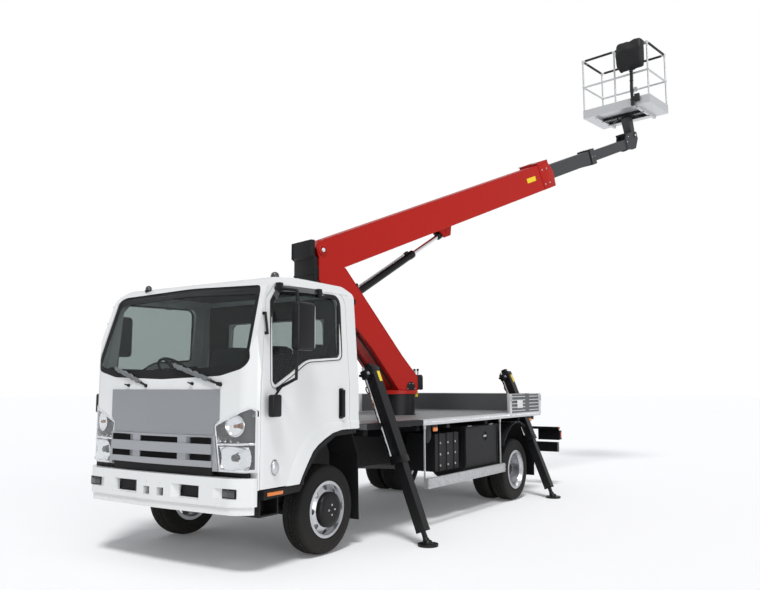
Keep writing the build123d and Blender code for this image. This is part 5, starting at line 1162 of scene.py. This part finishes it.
def make_hood():
    """Moulded hose hood on the front of the head, in place of its plain solid."""
    hood = Piece()
    hood.add(form_slab([(-1.435, 3.088), (-1.387, 3.088), (-1.387, 2.907), (-1.345, 2.887), (-1.345, 2.402),
                        (-1.396, 2.402), (-1.4, 2.878), (-1.435, 2.902)], "X", -0.197, 0.197, 0.008))
    for z in (2.52, 2.7):
        hood.add(form_box(-0.199, 0.199, -1.406, -1.343, z, z + 0.016, 0.004))
    hood.both(form_box(0.175, 0.195, -1.44, -1.385, 2.9, 3.086, 0.004))
    hood.add(form_box(-0.197, 0.197, -1.346, -1.331, 2.662, 2.778, 0.002))
    hood.add(form_box(-0.12, 0.12, 0.196, 0.35, 1.401, 1.584, 0.006))
    for x in (-0.09, -0.03, 0.03, 0.09):
        hood.add(form_run([(x, -1.372, 2.44), (x * 0.9, -1.37, 2.35), (x * 0.7, -1.29, 2.3), (x * 0.5, -1.18, 2.345),
                           (x * 0.4, -1.1, 2.42)], 0.016, 8, 4), 1)
    hood.done("hose_hood", "turret", [PLASTIC, SLEEVE], "black_plastic", TURRET, 45, "turret_hood")


def make_boom():
    trim = Piece()
    end = 4.7
    # End collar plates, wear pad screws, blank labels and lifting eyes
    trim.both(form_slab([(end - 0.27, 0.112), (end - 0.01, 0.112), (end + 0.078, -0.06), (end + 0.05, -0.278),
                         (end - 0.24, -0.278)], "X", 0.159, 0.1665, 0.002))
    for y in (end - 0.2, end - 0.08):
        for z in (-0.2, 0.02):
            trim.both(form_bar((0.166, y, z), (0.172, y, z), 0.014, 6), 1)
    trim.both(form_box(0.1602, 0.1612, end - 0.62, end - 0.4, -0.1, -0.03), 2)
    for y in (end - 0.3, end - 0.05):
        trim.both(form_box(0.12, 0.165, y - 0.03, y + 0.03, 0.144, 0.152, 0.003), 1)
    # Long edge beads of the folded section
    for z in (0.104, -0.274):
        trim.both(form_run([(0.158, y, z) for y in (0.24, 2.4, end - 0.27)], 0.0055, 6))
    trim.both(form_turned([(0.075, 0), (0.075, 0.006), (0.045, 0.0065)], 36, along_x(0.16, 0, 0)))
    trim.add(form_box(-0.12, 0.12, -0.075, -0.058, -0.04, 0.04, 0.004))
    trim.done("boom_trim", "boom", [RED, ZINC, YELLOW], "red_paint", BOOM, 40)

    mid = Piece().add(form_box(-0.112, 0.112, 5.975, 6, -0.18, 0.068, 0.004))
    for y in (6.02, 6.11):
        mid.both(form_bar((0.118, y, -0.06), (0.124, y, -0.06), 0.01, 6), 1)
        mid.both(form_bar((0.06, y, 0.073), (0.06, y, 0.08), 0.01, 6), 1)
    mid.done("middle_section_trim", "boom_mid", [BLACK, ZINC], "grey_paint", BOOM)

    fly = Piece().add(form_box(-0.075, 0.075, 7.24, 7.4, 0.1, 0.135, 0.008))
    head = along_x(0.1035, 7.6, 0.046)
    fly.both(form_turned([(0.042, -0.008), (0.042, 0.002), (0.03, 0.0035)], 28, head))
    fly.both(form_turned([(0.023, 0), (0.023, 0.006), (0, 0.008)], 24, head), 1)
    for y, z in ((7.29, -0.02), (7.36, 0.06)):
        fly.both(form_bar((0.082, y, z), (0.099, y, z), 0.011, 12), 1)
    fly.done("end_section_trim", "boom_fly", [BLACK, LABEL], "grey_paint", BOOM)


def make_cylinder():
    length, start = CYLINDER_LENGTH, CYLINDER_LENGTH - 1.38
    along = shift(0, 0, 0, -90, "X")
    barrel = Piece()
    barrel.add(form_turned([(0.0295, start - 0.006), (0.047, start - 0.004), (0.0515, start + 0.004),
                            (0.0515, start + 0.06), (0.047, start + 0.069), (0.046, start + 0.072)], 40, along))
    for k in range(5):
        y = length - 0.3 + 0.036 * k
        x = 0.02 if k % 2 else -0.02
        barrel.add(form_bar((0.046, y, -0.075), (0.07, y, -0.075), 0.012, 6), 1)
        barrel.add(form_bar((x, y, 0.068), (x, y, 0.092), 0.011, 6), 1)
        barrel.add(form_bar((0.046, y, 0.03), (0.066, y, 0.03), 0.01, 6), 1)
    barrel.add(form_bar((0.047, length - 0.245, -0.02), (0.058, length - 0.245, -0.02), 0.021, 20), 2)
    barrel.add(form_run([(0, start + 0.1, -0.06), (0, start + 0.4, -0.058), (0, length - 0.34, -0.058)], 0.009), 3)
    barrel.add(form_box(-0.02, 0.02, start + 0.07, start + 0.13, -0.074, -0.044, 0.005))
    barrel.done("cylinder_fittings", "cylinder_barrel", [BLACK, ZINC, YELLOW, CHROME], "black_paint", CYLINDER)
    eye = form_turned([(0.029, 0.05), (0.046, 0.054), (0.05, 0.062), (0.05, 0.12), (0.044, 0.13), (0.029, 0.134)], 36,
                      along)
    Piece().add(eye).done("rod_eye_collar", "cylinder_rod", BLACK, "black_paint", CYLINDER)


# Basket

BASKET_L, BASKET_D, BASKET_H, TUBE = 0.62, 0.39, 1.1, 0.017


def make_basket():
    sleeves = Piece()
    x, y, z = BASKET_L - TUBE, BASKET_D - TUBE, BASKET_H - TUBE
    for start, stop in (
            ((-0.55, y), (-0.028, y)), ((0.028, y), (0.55, y)), ((-0.55, -y), (-0.028, -y)),
            ((0.028, -y), (CONTROLS_X - 0.245, -y)), ((x, -0.325), (x, 0.325)), ((-x, -0.325), (-x, 0.325))):
        sleeves.add(form_bar((*start, z), (*stop, z), 0.0205, soft=0.003))
    sleeves.done("rail_sleeves", "basket", SLEEVE, "black_plastic", BASKET)

    fit = Piece()
    for sign in (1, -1):
        fit.both(form_turned([(0, 1.098), (0.017, 1.096), (0.0195, 1.08), (0.0195, 1.05), (0.015, 1.048)], 20,
                             shift(x, sign * y, 0)))
        fit.both(form_turned([(0, 0.031), (0.026, 0.031), (0.026, 0.036), (0.016, 0.042)], 20,
                             shift(BASKET_L - 0.024, sign * (BASKET_D - 0.024), 0)))
        fit.add(form_box(0.004 - BASKET_L, BASKET_L - 0.004, sign * (BASKET_D - 0.004), sign * (BASKET_D + 0.001),
                         0.128, 0.152, 0.003))
    fit.both(form_box(BASKET_L - 0.004, BASKET_L + 0.001, 0.004 - BASKET_D, BASKET_D - 0.004, 0.128, 0.152, 0.003))
    # Gate latch and rope eye on the far side
    fit.add(form_box(0.02, 0.075, BASKET_D - 0.045, BASKET_D - 0.002, 0.56, 0.64, 0.005), 1)
    fit.add(form_run([(-0.56, -0.34, 1.06), (-0.55, -0.33, 1.035), (-0.535, -0.325, 1.03), (-0.525, -0.33, 1.045)],
                     0.004, 6, 4), 1)
    fit.done("basket_fittings", "basket", [ALLOY, ZINC], "aluminium", BASKET, 45)
    repeat_piece("basket_floor_bars", "basket", ALLOY, "aluminium", ROW,
                 form_box(-0.6, 0.6, -0.004, 0.004, 0, 0.004, 0.001, 1), [BASKET @ shift(0, -0.36, 0.03)],
                 Count=19, Step=(0, 0.04, 0))

    under = Piece().add(form_box(-0.14, 0.14, -0.16, 0.2, -0.02, -0.003, 0.003))
    for y in (-0.12, 0.12):
        under.add(form_box(-0.4, 0.4, y - 0.022, y + 0.022, -0.046, -0.004, 0.004))
    under.both(form_bar((0.3, 0.1, -0.05), (0.1, -0.1, -0.06), 0.014, 10))
    under.done("basket_undercarriage", "basket", BLACK, "black_paint", BASKET)


def make_basket_cover():
    """Soft hood over the basket's control box, with its hose bundle, in place of their plain solid."""
    rail = TUBE - BASKET_D
    # y and z round the hood's side outline, from the inner foot over the top to the outer foot
    side = rounded([(rail - 0.163, 0.67, 0.04), (rail - 0.024, 0.63, 0.02), (rail - 0.024, 1.106, 0),
                    (rail + 0.148, 1.108, 0.01), (rail + 0.116, 1.146, 0.025), (rail - 0.118, 1.158, 0.06),
                    (rail - 0.188, 0.97, 0.1)], 6)
    centre = Vector((rail - 0.06, 1))
    rows = []
    for s in (-1, -0.985, -0.93, -0.8, -0.6, -0.4, -0.2, 0, 0.2, 0.4, 0.6, 0.8, 0.93, 0.985, 1):
        row = []
        for y, z in dense(side, 0.045):
            spoke = Vector((y, z)) - centre
            inward = 1 - 3 * max(0, abs(s) - 0.9)
            fold = -0.006
            if y < rail - 0.03 or z > 1.12:
                fold += 0.006 * math.sin(z * 21 + s * 5) + 0.005 * math.sin(z * 43 - s * 8)
                fold += 0.004 * math.sin(s * 13 + z * 9)
            else:
                inward = min(1, inward + 0.06)
            place = centre + spoke * inward + spoke.normalized() * fold
            row.append((CONTROLS_X + s * 0.235 * (1 - 0.07 * max(0, 0.9 - z)), *place))
        rows.append(row)
    cover = Piece().add(form_skin(rows))
    outer = -BASKET_D - 0.044
    # The hose bundle in three bulging strands, and straps round it
    for k in range(3):
        swings = [(t, 2 * math.pi * k / 3 + 3.2 * t) for t in [i / 11 for i in range(12)]]
        path = [(CONTROLS_X + 0.015 * math.cos(a), outer + 0.013 * math.sin(a), -0.004 + 0.724 * t) for t, a in swings]
        cover.add(form_run(path, 0.0165, 8, 2, 1.0, lambda t: 0.92 + 0.1 * math.sin(t * 19)), 1)
    for z in (0.1, 0.27, 0.44, 0.61):
        cover.add(form_turned([(0.026, -0.009), (0.0315, -0.007), (0.0315, 0.007), (0.026, 0.009)], 20,
                              shift(CONTROLS_X, outer, z)), 1)
    cover.add(form_box(CONTROLS_X + 0.04, CONTROLS_X + 0.125, outer - 0.01, outer + 0.038, 0.06, 0.19, 0.006), 1)
    cover.add(form_box(CONTROLS_X + 0.018, CONTROLS_X + 0.062, outer - 0.012, outer + 0.012, 0.1, 0.15, 0.003), 1)
    cover.done("control_hood", "basket", [COVER, SLEEVE], "black_plastic", BASKET, 55, "basket_controls")


def paint_nodes():
    """CAD nodes that keep their shape take their finish here."""
    for used, names in (
            (CHASSIS, "chassis_frame subframe front_axle rear_axle tie_rod knuckle_left knuckle_right"),
            (CAST, "engine_block prop_shaft"), (ZINC, "exhaust side_guards"), (PLATE, "deck"), (BOARD, "deck_boards"),
            (PLASTIC, "side_boxes toolbox toolbox_lid rear_mudguards tail_lamps cab_steps"),
            (BLACK, "rear_bars turret_base cylinder_barrel outriggers_front outriggers_rear leg_front_left "
                    "leg_front_right leg_rear_left leg_rear_right"),
            (WHITE, "cab_shell bumper door_left door_right"), (PANE, "cab_glass door_glass_left door_glass_right"),
            (PANEL_GREY, "front_panel"), (SILVER, "grille"), (INSIDE_PAINTED_SHADE, "dashboard"), (RED, "turret_column boom_outer"),
            (GREY, "boom_mid boom_fly basket_bracket"), (CHROME, "cylinder_rod"), (ALLOY, "basket_frame"),
            (STEEL, "rim_front_left rim_front_right rims_rear_left rims_rear_right")):
        for name in names.split():
            NODES[name].data.materials.clear()
            NODES[name].data.materials.append(used)


# Camera, floor, world and lamps

PHOTO_WIDTH = 760
FOCUS_PIXELS = 755.8
CAMERA_SPOT = (5.062, -5.373, 1.453)
CAMERA_ANGLES = (33.43, 6.66, -0.15)


def make_camera():
    """Camera at the photograph's angle: heading, pitch and roll in degrees."""
    azimuth, pitch, roll = [math.radians(a) for a in CAMERA_ANGLES]
    ahead = Vector((-math.sin(azimuth) * math.cos(pitch), math.cos(azimuth) * math.cos(pitch), math.sin(pitch)))
    right = Vector((math.cos(azimuth), math.sin(azimuth), 0))
    up = right.cross(ahead)
    right, up = right * math.cos(roll) + up * math.sin(roll), up * math.cos(roll) - right * math.sin(roll)
    data = bpy.data.cameras.new("camera")
    data.sensor_width = 36.0
    data.lens = FOCUS_PIXELS / PHOTO_WIDTH * data.sensor_width
    data.shift_x = -1.6 / PHOTO_WIDTH
    data.shift_y = 2.3 / PHOTO_WIDTH
    data.clip_end = 500
    camera = bpy.data.objects.new("camera", data)
    camera.matrix_world = Matrix.Translation(Vector(CAMERA_SPOT) - TRUCK) @ Matrix(
        (right, up, -ahead)).transposed().to_4x4()
    bpy.context.scene.collection.objects.link(camera)
    bpy.context.scene.camera = camera


def make_world():
    """White to the camera, softer in reflections, pale for the light that falls."""
    world = bpy.data.worlds.new("studio")
    bpy.context.scene.world = world
    world.use_nodes = True
    tree = world.node_tree
    tree.nodes.clear()
    rays = put(tree, "ShaderNodeLightPath").outputs
    seen = calc(tree, "MAXIMUM", calc(tree, "MAXIMUM", rays["Is Camera Ray"], rays["Is Transmission Ray"]),
                calc(tree, "MULTIPLY", rays["Is Glossy Ray"], 0.4))
    plain, white = [put(tree, "ShaderNodeBackground", {"Color": colour, "Strength": strength}).outputs[0]
                    for colour, strength in (((0.93, 0.96, 1, 1), 0.4), ((1, 1, 1, 1), 1.0))]
    mixed = put(tree, "ShaderNodeMixShader", {0: seen, 1: plain, 2: white}).outputs[0]
    put(tree, "ShaderNodeOutputWorld", {0: mixed})


def make_floor():
    size = 90
    floor = bpy.data.meshes.new("floor")
    floor.from_pydata([(-size, -size, 0), (size, -size, 0), (size, size, 0), (-size, size, 0)], [], [(0, 1, 2, 3)])
    ground = bpy.data.objects.new("floor", floor)
    ground.location = (0, 0, -0.0005)
    bpy.context.scene.collection.objects.link(ground)
    material = bpy.data.materials.new("floor")
    material.use_nodes = True
    tree = material.node_tree
    tree.nodes.clear()
    rays = put(tree, "ShaderNodeLightPath").outputs
    strength = calc(tree, "MULTIPLY", calc(tree, "MAXIMUM", rays["Is Camera Ray"], rays["Is Glossy Ray"]), 0.06)
    matte = put(tree, "ShaderNodeBsdfDiffuse", {"Color": (0.97, 0.97, 0.98, 1)}).outputs[0]
    glow = put(tree, "ShaderNodeEmission", {"Strength": strength}).outputs[0]
    put(tree, "ShaderNodeOutputMaterial", {0: put(tree, "ShaderNodeAddShader", {0: matte, 1: glow}).outputs[0]})
    floor.materials.append(material)


def make_lamps():
    # Lamp name, direction that it shines in, strength, angular size in degrees
    for name, heading, strength, spread in (("key", (-0.24, 0.40, -0.88), 1.84, 14),
                                            ("fill", (-0.86, 0.36, -0.10), 1.15, 40)):
        lamp = bpy.data.lights.new(name, "SUN")
        lamp.energy = strength
        lamp.angle = math.radians(spread)
        thing = bpy.data.objects.new(name, lamp)
        thing.rotation_mode = "QUATERNION"
        thing.rotation_quaternion = Vector(heading).to_track_quat("-Z", "Y")
        bpy.context.scene.collection.objects.link(thing)


bpy.context.scene.view_settings.view_transform = "Standard"
for make in (paint_nodes, make_camera, make_world, make_floor, make_lamps, make_wheels, make_windscreen_trim,
             make_roof_trim, make_door_trim, make_grille_trim, make_headlamps, make_mirrors, make_interior,
             make_underside, make_side_boxes, make_deck_trim, make_rear_trim, make_outriggers, make_turret, make_hood,
             make_boom, make_cylinder, make_basket, make_basket_cover):
    make()
